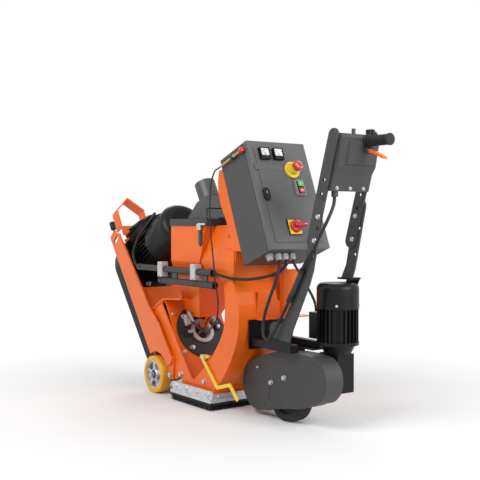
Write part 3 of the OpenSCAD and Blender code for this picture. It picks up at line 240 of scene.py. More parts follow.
def brushedMetal(name, colour, rough, along=0):
    # drawn or extruded metal: streaks along one axis, dull spots
    f = Finish(name, colour, rough, 1.0)
    streakScale = [grain["streakAcross"]] * 3
    streakScale[along] = grain["streakAlong"]
    streak = f.noise(1.0, 3, 0.6, f.stretched(*streakScale))
    spot = f.noise(grain["spot"], 4)
    f.set("Base Color", f.mixed(spot.steps(0.45, 0.75), colour, tuple(c * 0.7 for c in colour)))
    f.set("Roughness", (rough + streak * 0.16 + spot * 0.1).clamped())
    f.raised(streak, 0.00008)
    return f.material


def rubber(name, colour, rough, skinDepth=0.0003):
    # matt rubber or cable jacket with a chalky bloom
    f = Finish(name, colour, rough)
    f.set("Specular IOR Level", 0.3)
    bloom = f.noise(grain["bloom"], 4).steps(0.45, 0.8)
    f.set("Base Color", f.mixed(bloom * 0.5, colour, tuple(min(1, c * 1.9 + 0.006) for c in colour)))
    f.set("Roughness", (rough + bloom * 0.15).clamped())
    f.raised(f.noise(grain["skin"], 2), skinDepth)
    return f.material


def zincPlate(name):
    # zinc plating: bright with cloudy bluish patches and small tarnish
    colour, rough = (0.62, 0.63, 0.65), 0.26
    f = Finish(name, colour, rough, 1.0)
    cloud = f.noise(grain["spangle"], 3)
    f.set("Base Color", f.mixed(cloud.steps(0.4, 0.7), colour, (0.5, 0.53, 0.6)))
    f.set("Roughness", (rough + cloud * 0.15).clamped())
    f.raised(f.noise(grain["etch"], 2), 0.00006)
    return f.material


orangeTone = (0.86, 0.142, 0.004)
darkTone = (0.03, 0.03, 0.032)
greyDust = (0.12, 0.115, 0.11)
blackDust = (0.03, 0.03, 0.03)

# where one solid changes its finish, in metres on the machine
coatEdges = {"straps": ((-0.19, -0.149), (0.042, 0.081)), "bar": -0.1461,
             "axle": (-0.341467, 0.082), "pivot": (-0.223467, 0.096), "bare": 0.0122,
             "dogProud": 0.0083, "dogDown": -0.027, "hookFoot": 0.724}


def near(f, line, radius):
    # 1 within the radius of a line that runs across the machine
    dx, dz = f.axis(0) - line[0], f.axis(2) - line[1]
    return (dx * dx + dz * dz) < radius * radius


def clampCoat():
    # orange bar, light blocks and dark straps, told apart by where they sit
    block, band = (0.5, 0.5, 0.49), (0.04, 0.04, 0.042)
    f = Finish("clampCoat", block, 0.42)
    x = f.axis(0)
    strap = sum((x > low) * (x < high) for low, high in coatEdges["straps"])
    f.set("Base Color", f.mixed(f.axis(1) > coatEdges["bar"], f.mixed(strap, block, band), orangeTone))
    f.raised(f.noise(600, 3, 0.7), 0.0002)
    return f.material


def leverCoat():
    # orange lever with bare turned ends on its axle and pivot shaft
    f = Finish("leverCoat", orangeTone, 0.28, 0.0, 0.15)
    bare = near(f, coatEdges["axle"], coatEdges["bare"]) + near(f, coatEdges["pivot"], coatEdges["bare"])
    drift = f.noise(grain["drift"], 2)
    toned = f.mixed(drift.steps(0.35, 0.7), tuple(c * 0.85 for c in orangeTone), orangeTone)
    f.set("Base Color", f.mixed(bare, toned, (0.5, 0.5, 0.51)))
    f.set("Metallic", bare.clamped())
    f.set("Roughness", (0.27 + drift * 0.08 + f.noise(grain["speck"], 2) * 0.05).clamped())
    f.raised(f.noise(grain["peel"], 2), 0.0002)
    return f.material


def plateCoat():
    # dark plate with light clamp dogs; height and down are measured along and across the wheel axis
    f = Finish("plateCoat", (0.024, 0.024, 0.025), 0.42)
    f.set("Specular IOR Level", 0.35)
    centre = metres(wheelCentre).tolist()
    x, z = f.axis(0) - centre[0], f.axis(2) - centre[2]
    height = x * math.cos(lean) + z * math.sin(lean)
    down = x * math.sin(lean) - z * math.cos(lean)
    dog = (height > coatEdges["dogProud"]) * (down < coatEdges["dogDown"])
    dust = f.noise(40, 4).steps(0.5, 0.8)
    plain = f.mixed(dust * 0.5, (0.022, 0.022, 0.023), (0.06, 0.052, 0.045))
    f.set("Base Color", f.mixed(dog, plain, (0.42, 0.41, 0.4)))
    f.set("Roughness", (0.36 + dust * 0.2).clamped())
    f.raised(f.noise(grain["peel"], 2), 0.0003)
    return f.material


def latchCoat():
    # plated hook above a dark painted handle
    f = Finish("latchCoat", darkTone, 0.35)
    plated = f.axis(2) > coatEdges["hookFoot"]
    cloud = f.noise(grain["spangle"], 3)
    f.set("Base Color", f.mixed(plated, darkTone, (0.6, 0.61, 0.63)))
    f.set("Metallic", plated)
    f.set("Roughness", (0.24 + cloud * 0.16).clamped())
    f.raised(f.noise(grain["pits"], 2), 0.0001)
    return f.material


# every finish of the machine, by its own short name
finishes = {
    "orange": powderCoat("orangeCoat", orangeTone, 0.28, coat=0.06, shade=0.86, gloss=0.4),
    "darkGrey": powderCoat("greyCoat", (0.05, 0.05, 0.051), 0.42, 0.00035, 0.0, 0.86, greyDust, 0.35),
    "cabinetGrey": powderCoat("cabinetCoat", (0.06, 0.06, 0.061), 0.45, 0.0005, 0.0, 0.88, greyDust, 0.4),
    # the door's paint is the cabinet grey made lighter all over: painted sheen standing in for the floor's
    # reflection in the door
    "doorGrey": powderCoat("doorCoatPaintedSheen", (0.095, 0.095, 0.097), 0.4, 0.0005, 0.0, 0.9, (0.16, 0.155, 0.15)),
    "plateGrey": plateCoat(),
    "black": powderCoat("blackCoat", (0.004, 0.004, 0.0045), 0.32, 0.00025, 0.0, 0.8, blackDust, 0.25),
    "motorBlack": casting("motorCasting", (0.004, 0.004, 0.0045), 0.34, 0.0, 0.0004, 0.0, 0.28),
    "clamps": clampCoat(),
    "lever": leverCoat(),
    "latch": latchCoat(),
    "dial": casting("dialFace", (0.8, 0.81, 0.82), 0.3, 0.0, 0.00002, 0.4),
    "ink": rubber("printedInk", (0.015, 0.015, 0.016), 0.5, 0.00005),
    "stripGrey": casting("stripPlate", (0.1, 0.1, 0.105), 0.35, 0.0, 0.00008),
    "paleGrey": casting("palePlastic", (0.32, 0.32, 0.33), 0.4, 0.0, 0.0001),
    "gasket": rubber("gasketFoam", (0.006, 0.006, 0.006), 0.75),
    "brass": brushedMetal("brassRod", (0.72, 0.46, 0.14), 0.24, 2),
    "castGrey": casting("greyCasting", (0.6, 0.6, 0.59), 0.42, 0.25),
    "alloy": casting("wheelAlloy", (0.66, 0.66, 0.66), 0.33, 0.85),
    "aluminium": brushedMetal("railAluminium", (0.72, 0.73, 0.75), 0.3, 0),
    "galvanised": casting("galvanisedSheet", (0.1, 0.1, 0.1), 0.4, 0.55, 0.0002),
    "steel": brushedMetal("turnedSteel", (0.56, 0.56, 0.57), 0.25, 1),
    "zinc": zincPlate("zincPlate"),
    "rubber": rubber("blackRubber", (0.014, 0.014, 0.015), 0.62),
    "conduit": rubber("conduitPlastic", (0.03, 0.03, 0.031), 0.38, 0.00015),
    "jacket": rubber("cableJacket", (0.012, 0.012, 0.014), 0.42, 0.00015),
    "amber": rubber("amberTyre", (0.74, 0.36, 0.03), 0.38, 0.00025),
    "yellow": powderCoat("yellowCoat", (0.86, 0.62, 0.03), 0.34),
    "red": casting("redPlastic", (0.62, 0.02, 0.02), 0.3, 0.0, 0.0001, 0.2),
    "green": casting("greenPlastic", (0.08, 0.55, 0.16), 0.3, 0.0, 0.0001, 0.2),
    "glandGrey": casting("glandPlastic", (0.45, 0.45, 0.47), 0.42, 0.0, 0.0002),
}

nodeFinish = {
    "base_ring": "orange", "seal_rails": "aluminium", "brush_left": "rubber", "brush_right": "rubber",
    "brush_front": "rubber", "brush_rear": "rubber", "side_plates": "orange", "wheel_chamber": "orange",
    "rebound_duct": "orange", "motor_stand": "orange", "bolts": "zinc", "cage_plate": "plateGrey",
    "bearing_housing": "motorBlack", "drive_belts": "rubber", "motor_plate": "orange", "belt_guard": "black",
    "lift_bail": "orange", "motor_body": "motorBlack", "motor_cowl": "black", "terminal_box": "black",
    "hopper": "orange", "separator": "orange", "cables": "jacket", "conduits": "conduit",
    "conduit_clamps": "clamps", "cabinet_body": "cabinetGrey", "cabinet_brackets": "orange",
    "handle_arms": "darkGrey", "handle_box": "darkGrey", "handle_grip": "rubber", "drive_cover": "darkGrey",
    "gear_motor": "black", "drive_frame": "black", "rear_bracket": "orange", "drive_chain": "steel",
    "control_cage": "castGrey", "blast_wheel": "steel", "wheel_shaft": "steel", "motor_rotor": "steel",
    "hopper_lid": "darkGrey", "dust_outlet": "galvanised", "lid_latch": "latch", "shot_valve": "steel",
    "valve_knob": "red", "cabinet_door": "doorGrey", "door_fittings": "black", "stop_button": "red",
    "start_button": "green", "off_button": "red", "main_switch": "red", "door_lock": "black",
    "speed_knob": "black", "drive_lever": "orange", "drive_wheel": "rubber", "drive_sprocket": "steel",
    "depth_lever": "yellow", "caster_left": "amber", "caster_right": "amber", "lift_lever": "lever",
    "index_plunger": "black",
}
for nodeName, finishName in nodeFinish.items():   # the solids that stay get these finishes
    mesh = nodes[nodeName].data
    mesh.materials.clear()
    mesh.materials.append(finishes[finishName])
print("finishes ready:", len(finishes))


def around(sides):
    # equal steps round a full turn
    return np.arange(sides) * 2 * math.pi / sides


class Form:
    # gathers closed surfaces and makes one piece of them; a tag picks the material
    def __init__(self):
        self.points = []
        self.faces = []
        self.tags = []
        self.count = 0

    def keep(self, points, faces, tag=0):
        self.points.append(np.asarray(points, float).reshape(-1, 3))
        self.faces += [[i + self.count for i in face] for face in faces]
        self.tags += [tag] * len(faces)
        self.count += len(self.points[-1])

    def sleeve(self, rings, tag=0, closed=False):
        # rings is a grid of points, ring by ring; walls join neighbours, and flat ends close the first
        # and last ring, or the last ring joins the first where it is closed
        rings = np.asarray(rings, float)
        n, m = rings.shape[:2]
        i, j = np.meshgrid(np.arange(n if closed else n - 1), np.arange(m), indexing="ij")
        a, b = i * m + j, i * m + (j + 1) % m
        c, d = (i + 1) % n * m + (j + 1) % m, (i + 1) % n * m + j
        walls = np.stack([a, b, c, d], -1).reshape(-1, 4).tolist()
        ends = [] if closed else [list(range(m))[::-1], list(range((n - 1) * m, n * m))]
        self.keep(rings, walls + ends, tag)

    def turned(self, profile, setting, sides=48, tag=0):
        # (radius, height) pairs turned round the setting's z: (radius cos a, radius sin a, height)
        profile = np.asarray(profile, float)
        ring = np.stack([np.cos(around(sides)), np.sin(around(sides))], -1)
        heights = np.repeat(profile[:, None, 1:], sides, 1)
        grid = np.concatenate([profile[:, None, :1] * ring[None], heights], -1)
        self.sleeve(setting.metres(grid), tag)

    def hoop(self, profile, setting, sides=64, tag=0):
        # closed loop of (radius, height) pairs turned into a ring: (radius cos a, radius sin a, height)
        profile = np.asarray(profile, float)
        turn = around(sides)
        grid = np.stack([np.outer(np.cos(turn), profile[:, 0]), np.outer(np.sin(turn), profile[:, 0]),
                         np.outer(np.ones(sides), profile[:, 1])], -1)
        self.sleeve(setting.metres(grid), tag, True)

    def slab(self, outline, low, high, setting, tag=0, bevel=0.0):
        # outline in the setting's x and y, raised from low to high, its upper rim drawn in by the bevel
        outline = np.asarray(outline, float)
        middle = outline.mean(0)
        inner = middle + (outline - middle) * (1 - bevel / np.abs(outline - middle).max())
        layers = [(outline, low), (outline, high - bevel)] + ([(inner, high)] if bevel else [])
        rings = [np.column_stack([flat, np.full(len(flat), z)]) for flat, z in layers]
        self.sleeve(setting.metres(np.array(rings)), tag)

    def pierced(self, outline, hole, low, high, setting, tag=0):
        # plate with a hole; both outlines have as many points and start on the same side
        loops = [(outline, low), (outline, high), (hole, high), (hole, low)]
        rings = np.array([np.column_stack([flat, np.full(len(flat), z)]) for flat, z in loops])
        self.sleeve(setting.metres(rings), tag, True)

    def run(self, route, radius, sides=14, tag=0):
        # round section along a route in metres: route + radius (cos a side + sin a other), both square to it
        route = np.asarray(route, float)
        ahead = np.gradient(route, axis=0)
        ahead /= np.linalg.norm(ahead, axis=1, keepdims=True)
        slant = np.array([0.31, 0.83, 0.46])       # no route runs this way
        side = slant - (ahead @ slant)[:, None] * ahead
        side /= np.linalg.norm(side, axis=1, keepdims=True)
        other = np.cross(ahead, side)
        turn = around(sides)[:, None]
        section = np.cos(turn) * side[:, None] + np.sin(turn) * other[:, None]
        self.sleeve(route[:, None] + radius * section, tag)

    def piece(self, name, body, *materials, smooth=40):
        # one object that rides on a body; edges that turn more than smooth degrees stay sharp
        mesh = bpy.data.meshes.new(name)
        mesh.from_pydata(np.concatenate(self.points).tolist(), [], self.faces)
        mesh.polygons.foreach_set("material_index", self.tags)
        work = bmesh.new()
        work.from_mesh(mesh)
        bmesh.ops.recalc_face_normals(work, faces=work.faces)
        for edge in work.edges:
            edge.smooth = len(edge.link_faces) == 2 and edge.calc_face_angle(0) < math.radians(smooth)
        for face in work.faces:
            face.smooth = True
        work.to_mesh(mesh)
        work.free()
        for material in materials:
            mesh.materials.append(finishes[material])
        made = bpy.data.objects.new(name, mesh)
        bpy.context.scene.collection.objects.link(made)
        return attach(made, body)


def rounded(width, height, radius, corners=6, at=(0, 0)):
    # rectangle with round corners, centred on a point: corner centre + radius (cos a, sin a)
    turn = np.linspace(0, math.pi / 2, corners)
    parts = []
    for quarter in range(4):
        a = turn + quarter * math.pi / 2
        x = (width / 2 - radius) * (1 if quarter in (0, 3) else -1)
        y = (height / 2 - radius) * (1 if quarter in (0, 1) else -1)
        parts.append(np.column_stack([x + radius * np.cos(a), y + radius * np.sin(a)]))
    return np.concatenate(parts) + at


def oblong(left, right, low, high):
    # rectangle by its sides
    return [(left, low), (right, low), (right, high), (left, high)]


def disc(radius, at=(0, 0), sides=40, start=0.0):
    # centre + radius (cos a, sin a); one radius, or one for each side
    a = around(sides) + start
    return np.column_stack([np.cos(a), np.sin(a)]) * np.reshape(radius, (-1, 1)) + at


def bothSides(half, middle=()):
    # a half profile, then the same one mirrored in height and in reverse
    return [*half, *middle, *((x, -z) for x, z in reversed(half))]


def smoothRoute(points, steps):
    # curve through all the points: between b and c it is half of
    # 2b + (c - a)t + (2a - 5b + 4c - d)t^2 + (3b - a - 3c + d)t^3, with steps stretches to a pair
    p = metres(points)
    p = np.vstack([2 * p[0] - p[1], p, 2 * p[-1] - p[-2]])
    t = np.linspace(0, 1, steps, endpoint=False)[:, None]
    legs = []
    for a, b, c, d in zip(p, p[1:], p[2:], p[3:]):
        bend = (2 * a - 5 * b + 4 * c - d) * t ** 2 + (3 * b - a - 3 * c + d) * t ** 3
        legs.append(0.5 * (2 * b + (c - a) * t + bend))
    return np.vstack(legs + [p[-2:-1]])


# the camera stands low, behind the machine's left rear corner
cameraLook = {"place": (2.94903, -2.0681, 0.765), "heading": (-0.81106, 0.58495), "pitch": -1.34,
              "lens": 64.3, "sensor": 36, "clip": 60}
camera = bpy.data.objects.new("camera", bpy.data.cameras.new("camera"))
bpy.context.scene.collection.objects.link(camera)
camera.location = cameraLook["place"]
slope = math.tan(math.radians(cameraLook["pitch"]))
camera.rotation_euler = Vector((*cameraLook["heading"], slope)).to_track_quat("-Z", "Y").to_euler()
camera.data.lens = cameraLook["lens"]
camera.data.sensor_width = cameraLook["sensor"]
camera.data.clip_end = cameraLook["clip"]
bpy.context.scene.camera = camera

# cables, each with its radius and its route; both ends go back into the machine
cables = {
    "motor": (6, [
        (-517.2, -67, 752.2), (-503, -67, 760.4), (-470, -76, 784), (-436, -86, 796), (-418, -100, 787),
        (-424, -118, 762), (-440, -132, 735), (-457, -144, 708), (-474, -152, 682), (-482, -158, 658),
        (-493, -162, 632), (-494, -165, 610), (-488, -165, 589), (-479, -162, 568), (-464, -160, 555),
        (-448, -160, 553)]),
    "valve": (3, [
        (192.3, -152, 974.6), (178, -152, 968.8), (150, -153, 955), (129, -155, 905), (127, -158, 845),
        (133, -164, 797), (147, -170, 733), (166, -176, 666), (184, -180, 599), (190, -178, 528),
        (182, -158, 448), (159, -147, 372), (113, -147, 325), (50, -110, 300), (-30, -92, 300),
        (-96, -86, 318), (-119, -79, 327)]),
    "conduit": (6, [
        (461.9, -39, 613.7), (467.3, -39, 600), (446, -56, 570), (400, -84, 550), (340, -116, 538),
        (270, -142, 536), (210, -156, 545), (168, -160, 552), (152, -160, 553)]),
    "handle": (6, [
        (461.9, -71, 613.7), (467.3, -71, 600), (463, -84, 545), (447, -100, 480), (434, -114, 420),
        (430, -122, 370), (440, -126, 332), (462, -126, 320), (490, -124, 342), (530, -120, 400),
        (575, -116, 470), (622, -114, 545), (664, -114, 612), (712, -113, 668), (742, -108, 718),
        (762, -94, 768), (764, -74, 808), (757, -61, 832), (756, -60, 844.7)]),
    "drive": (5, [
        (461.9, -3, 613.7), (467.3, -3, 600), (488, 10, 560), (512, 20, 520), (534, 29, 482),
        (548, 34, 450), (550, 36, 424)]),
}
cableSteps = 8                             # stretches from one route point to the next
for cableName, (radius, route) in cables.items():
    line = smoothRoute(route, cableSteps)
    jacket = Form()
    jacket.run(line, radius * 0.001)
    cable = jacket.piece("cable_" + cableName, "machine", "jacket")
    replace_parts(cable, "cables")
    span = np.linalg.norm(np.diff(line, axis=0), axis=1).sum()
print("cables laid")

# brush strips round the seal frame: room is how far strands may reach, scatter how unevenly they stand
brush = {"rows": 4, "spacing": 2.1, "width": 1.15, "taper": 0.8, "top": 24, "bottom": 0.8, "ragged": 1.6,
         "splay": 1.3, "sideShare": 0.7, "wave": 0.9, "waveTurn": 0.35, "half": 3.1,
         "scatter": (0.35, 0.3), "room": (1.2, 5.3)}
holder = {"inset": 1, "half": 4.5, "layers": ((0.995, 22.5), (1, 23.2), (1, 32))}
strips = {"left": (300, (0, -169, 0), False), "right": (300, (0, 169, 0), False),
          "front": (324, (-146, 0, 0), True), "rear": (324, (146, 0, 0), True)}


def bristleStrip(name, node, length, centre, turned):
    # rows of thin tapering strands; each leans by a random splay plus a slow wave shared with its neighbours
    count = int(length / brush["spacing"])
    total = count * brush["rows"]
    along = np.repeat((np.arange(count) + 0.5) * length / count - length / 2, brush["rows"])
    along = along + chance.normal(0, brush["scatter"][0], total)
    across = np.tile(np.linspace(-brush["half"], brush["half"], brush["rows"]), count)
    across = across + chance.normal(0, brush["scatter"][1], total)
    splay = chance.normal(0, brush["splay"], (total, 2)) * [1, brush["sideShare"]]
    splay[:, 0] += brush["wave"] * np.sin(along * brush["waveTurn"])
    end, side = length / 2 - brush["room"][0], brush["room"][1]
    foot = np.column_stack([np.clip(along + splay[:, 0], -end, end),
                            np.clip(across + splay[:, 1], -side, side),
                            brush["bottom"] + chance.random(total) * brush["ragged"]])
    head = np.column_stack([np.clip(along, -end, end), across, np.full(total, brush["top"])])
    ring = np.column_stack([disc(1, sides=3), np.zeros(3)]) * brush["width"] / 2
    strands = np.stack([foot[:, None] + ring * brush["taper"], head[:, None] + ring], 1).reshape(-1, 3)
    walls = np.array([[0, 1, 4, 3], [1, 2, 5, 4], [2, 0, 3, 5]])
    lids = np.array([[0, 2, 1], [3, 4, 5]])
    base = np.arange(total)[:, None, None] * 6
    order = [1, 0, 2] if turned else [0, 1, 2]
    strip = Form()
    strip.keep(metres(strands[:, order] + centre),
               (walls + base).reshape(-1, 4).tolist() + (lids + base).reshape(-1, 3).tolist())
    x, y = length / 2 - holder["inset"], holder["half"]
    outline = np.array(oblong(-x, x, -y, y))
    rings = np.array([np.column_stack([outline * k, np.full(4, z)]) for k, z in holder["layers"]])
    strip.sleeve(metres(rings[..., order] + centre))
    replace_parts(strip.piece(name, "machine", "rubber", smooth=25), node)


for side, (length, centre, turned) in strips.items():
    bristleStrip("bristles_" + side, "brush_" + side, length, centre, turned)
print("brushes set")

# transport wheels: cover is how far the tyre laps the rim, pairs are inner and outer radii
transport = {"axle": (-310, 146, 82), "radius": 82, "width": 48, "shoulder": 6, "crown": 0.2,
             "cover": (62, 64), "rim": (54, 62.5), "hub": (19.1, 22, 25), "bore": 12.1, "bearing": (17, 19.5),
             "web": (24, 56, 3), "spokes": 5, "firstSpoke": 0.3, "flange": (2, 9), "thinShare": 0.35,
             "spoke": ((22, -9), (38, -6), (57, -10), (57, 10), (38, 6), (22, 9))}


def transportWheel(side, body, name):
    # polyurethane tyre with round shoulders on a cast hub with five spokes and a pressed bearing
    r, w = transport["radius"], transport["width"] / 2
    x, y, z = transport["axle"]
    centre = Setting((x, side * y, z), (1, 0, 0), (0, 0, -side), (0, side, 0))
    tyre = Form()
    corner = transport["shoulder"]
    shoulder = [(r - corner + corner * math.sin(a), w - corner + corner * math.cos(a))
                for a in np.linspace(0, math.pi / 2, 7)]
    inside, lip = transport["cover"]
    tyre.hoop(bothSides([(inside, w - 1), (lip, w)] + shoulder, [(r - transport["crown"], 0)]), centre, 96)
    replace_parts(tyre.piece("tyre_" + name, body, "amber", smooth=35), body)
    hub = Form()
    outer = w - 4
    inside, lip = transport["rim"]
    hub.hoop(bothSides([(inside, outer - 5), (inside + 1, outer), (lip, outer)]), centre, 96)
    seat, inside, lip = transport["hub"]
    hub.hoop(bothSides([(seat, outer), (inside, outer), (lip, outer - 4)]), centre, 48)
    spoke = np.array(transport["spoke"])
    thin, deep = (outer - edge for edge in transport["flange"])
    for i in range(transport["spokes"]):
        a = 2 * math.pi * i / transport["spokes"] + transport["firstSpoke"]
        turn = np.array([[math.cos(a), math.sin(a)], [-math.sin(a), math.cos(a)]])
        for low, high, wide in ((deep, thin, 1), (-thin, -deep, 1), (-deep, deep, transport["thinShare"])):
            hub.slab(spoke * [1, wide] @ turn, low, high, centre, 0, 0.8)
    inside, lip, web = transport["web"]
    hub.hoop(bothSides([(inside, web), (lip, web)]), centre)
    inside, lip = transport["bearing"]
    hub.hoop(bothSides([(transport["bore"], outer - 1.5), (inside, outer - 1), (lip, outer - 1.5)]),
             centre, 48, 1)
    hub.piece("hub_" + name, body, "alloy", "rubber", smooth=30)


transportWheel(-1, "caster_left", "left")
transportWheel(1, "caster_right", "right")
print("transport wheels set")

# bolts: washer is its radius and step as shares of the head's width, drop how far the corners fall
boltHead = {"grow": 0.12, "washer": (0.68, 0.64), "thick": (1.3, 1.75), "foot": 1.7, "base": 1.6,
            "drop": 0.55, "crown": 0.95, "sides": 36}
heads = Form()


def bolt(setting, x, y, z, flats=17, height=9):
    # washer and chamfered hexagon head: corner radius cos 30 / cos(a - 30) over each sixth of a turn
    grow, half, place = boltHead["grow"], flats / 2, setting.at(x, y, z)
    wide, step = flats * boltHead["washer"][0] + grow, flats * boltHead["washer"][1]
    low, high = boltHead["thick"]
    heads.turned([(0.2, 0), (wide, 0), (wide, low), (step, high), (0.2, high)], place, 32)
    sides = boltHead["sides"]
    corner = (flats / math.sqrt(3) + grow) * math.cos(math.pi / 6)
    reach = corner / np.cos(around(sides) % (math.pi / 3) - math.pi / 6)
    top = boltHead["base"] + height + grow
    drop = (reach - half).clip(0) * boltHead["drop"]
    rings = [np.column_stack([disc(radius, sides=sides), level]) for radius, level in
             ((reach, np.full(sides, boltHead["foot"])), (reach, top - drop),
              (np.minimum(reach, half) * boltHead["crown"], np.full(sides, top)))]
    heads.sleeve(place.metres(np.array(rings)))


for face in (leftFace, rightFace):                     # side rails and side plates
    for x in (-123, -42, 40, 121):
        bolt(face, x, 62, 165, 13, 7)
    bolt(face, -119, 108, 140)
    bolt(face, 62, 104, 140)
for y in (-126, -44, 44, 126):                         # front and rear rails
    bolt(rearFace, y, 55, 142, 10, 6)
    bolt(frontFace, y, 55, 142, 10, 6)
for y in (-122, 122):                                  # motor stand
    for along in (-140, -118):
        bolt(Setting(onAxis(along, 171).origin, (0, 1, 0), axisOut, axisUp), y, 0, 0, 13, 7)
for x, y in disc(104, sides=4, start=-math.pi / 4):    # round plate
    bolt(onAxis(8), x, y, 0)
for x, y, z in ((5, -73, 18), (-8, 79, 14), (-62, -68, 24), (-62, 68, 24)):   # its clamp dogs
    bolt(onAxis(8), x, y, z, 13, 7)
for x, y in disc(132, sides=8, start=math.pi / 8):     # motor flange
    bolt(onAxis(-231, 475), x, y, 0)
for face in (leftFace, rightFace):                     # handle arms
    for x, z, y in ((721.7, 775.6, 103), (702.4, 692.4, 103), (704.5, 778.6, -89), (687, 694.5, -89)):
        bolt(face, x, z, y, 13, 6)
for x, z in ((392.9, 141.3), (472.4, 170.5)):          # drive cover and its flap
    bolt(leftFace, x, z, 54, 15, 7)
bolt(leftFace, 305, 188.7, 54, 8, 3)
lip = {"middle": (774.3, 0, 875), "slope": math.atan2(17, 58), "across": (-66, -4, 59)}
rise, run = math.sin(lip["slope"]), math.cos(lip["slope"])
onLip = Setting(lip["middle"], (0, 1, 0), (rise, 0, run), (run, 0, -rise))
for y in lip["across"]:                                # handle box
    bolt(onLip, y, 0, 0, 10, 4)
gearCowl = {"centre": (640, 63), "radius": 77.6, "screws": 455}
for x, y in disc(1, sides=4, start=math.pi / 4):
    onCowl = Setting((*gearCowl["centre"], gearCowl["screws"]), (-y, x, 0), (0, 0, 1), (x, y, 0))
    bolt(onCowl, 0, 0, gearCowl["radius"], 7, 1.5)
for x in (-237, 27):                                   # conduit clamps
    for z in (528, 578):
        bolt(leftFace, x, z, 178, 8, 2.4)
heads.piece("hex_heads", "machine", "zinc", smooth=20)
print("bolts set")

# meters on the door: sweep and needle are degrees from straight up, tick is start, short and long end
meter = {"across": (-75, -10), "down": (35.6, 65.4), "half": 18.4, "back": 14.9, "face": 15.3, "foot": 5,
         "ticks": 9, "long": 4, "tick": (17.5, 19.6, 21), "tickWide": 0.8, "tickProud": 0.15,
         "sweep": 86, "needle": -30, "reach": (2, 19), "needleWide": 0.9, "needleProud": (0.2, 0.6),
         "boss": (2.3, 0.9, 1.1)}


def pointer(form, foot, angle, start, end, wide, low, high, tag):
    # flat bar that points away from a foot on the door, the angle turned from straight up
    along = np.array([-math.cos(angle), math.sin(angle)])
    side = np.array([along[1], -along[0]]) * wide / 2
    a, b = foot + along * start, foot + along * end
    form.slab([a - side, b - side, b + side, a + side], low, high, onDoor, tag)


meters = Form()
for y in meter["across"]:
    top, bottom = meter["down"]
    half, level = meter["half"], meter["face"]
    meters.slab(oblong(top, bottom, y - half, y + half), meter["back"], level, onDoor)
    foot = np.array([bottom - meter["foot"], y])
    start, short, long = meter["tick"]
    for i in range(meter["ticks"]):
        angle = math.radians(meter["sweep"]) * (i / (meter["ticks"] - 1) - 0.5)
        pointer(meters, foot, angle, start, short if i % meter["long"] else long, meter["tickWide"],
                level, level + meter["tickProud"], 1)
    low, high = meter["needleProud"]
    pointer(meters, foot, math.radians(meter["needle"]), *meter["reach"], meter["needleWide"],
            level + low, level + high, 1)
    wide, edge, crown = meter["boss"]
    meters.turned([(0.1, level), (wide, level), (wide, level + edge), (0.1, level + crown)],
                  onDoor.at(*foot), 20, 1)
meters.piece("meter_faces", "cabinet_door", "dial", "ink", smooth=20)

# yellow collar of the stop button and yellow plate of the switch, the collar as (radius, height)
collar = {"down": 120, "across": 42,
          "profile": [(9.4, 3.1), (33.4, 3.1), (33.8, 4.2), (33.8, 11.6), (32.8, 12.8), (23.8, 12.9),
                      (23.5, 13.4), (23.5, 32.6), (22.7, 33.5), (9.4, 33.5)]}
switch = {"down": 356, "across": -13, "plate": 57.5, "corner": 2, "hole": 9.6, "back": 7.9, "front": 8.9,
          "grip": [(0.1, -19.9), (8.9, -19.9), (8.9, 9.3), (23.2, 9.3), (23.9, 10), (23.9, 20.5), (22, 23),
                   (16, 24.4), (0.1, 24.6)],
          "lobe": [(-6, -19), (6, -19), (8.4, -8), (8.8, 4), (6.6, 26), (5.4, 34.6), (3, 35.9), (-3, 35.9),
                   (-5.4, 34.6), (-6.6, 26), (-8.8, 4), (-8.4, -8)],
          "lobeHeight": (22, 41.7), "bevel": 1.6, "mark": (-0.9, 0.9, 22, 34), "markHeight": (41.6, 41.95)}
onStop = onDoor.at(collar["down"], collar["across"])
onSwitch = onDoor.at(switch["down"], switch["across"])
guard = Form()
guard.hoop(collar["profile"], onStop)
plate = rounded(switch["plate"], switch["plate"], switch["corner"], 8)
start = math.atan2(plate[0, 1], plate[0, 0])
guard.pierced(plate, disc(switch["hole"], (0, 0), len(plate), start), switch["back"], switch["front"],
              onSwitch)
guard.piece("warning_collar", "cabinet_door", "yellow", smooth=35)

# stop button with three pale turning arcs on its cap
stop = {"profile": [(0.1, -17.9), (8.9, -17.9), (8.9, 40.2), (14, 40.4), (18.6, 42.6), (19.8, 46), (19.8, 50),
                    (18.8, 53.8), (16, 56.8), (12, 58.7), (6, 59.7), (0.1, 59.9)],
        "arcs": 3, "sweep": 1.35, "radii": (12.6, 14.4), "height": (56.6, 58.6)}
cap = Form()
cap.turned(stop["profile"], onStop, 56)
for i in range(stop["arcs"]):
    sweep = np.linspace(0, stop["sweep"], 12) + i * 2 * math.pi / stop["arcs"]
    arc = np.column_stack([np.cos(sweep), np.sin(sweep)])
    low, high = stop["radii"]
    cap.slab(np.concatenate([arc * high, arc[::-1] * low]), *stop["height"], onStop, 1)
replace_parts(cap.piece("stop_cap", "stop_button", "red", "dial", smooth=35), "stop_button")

# main switch: round base, a long lobe to turn it by and a pale mark
grip = Form()
grip.turned(switch["grip"], onSwitch, 56)
grip.slab(switch["lobe"], *switch["lobeHeight"], onSwitch, 0, switch["bevel"])
grip.slab(oblong(*switch["mark"]), *switch["markHeight"], onSwitch, 1)
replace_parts(grip.piece("switch_grip", "main_switch", "red", "dial", smooth=35), "main_switch")

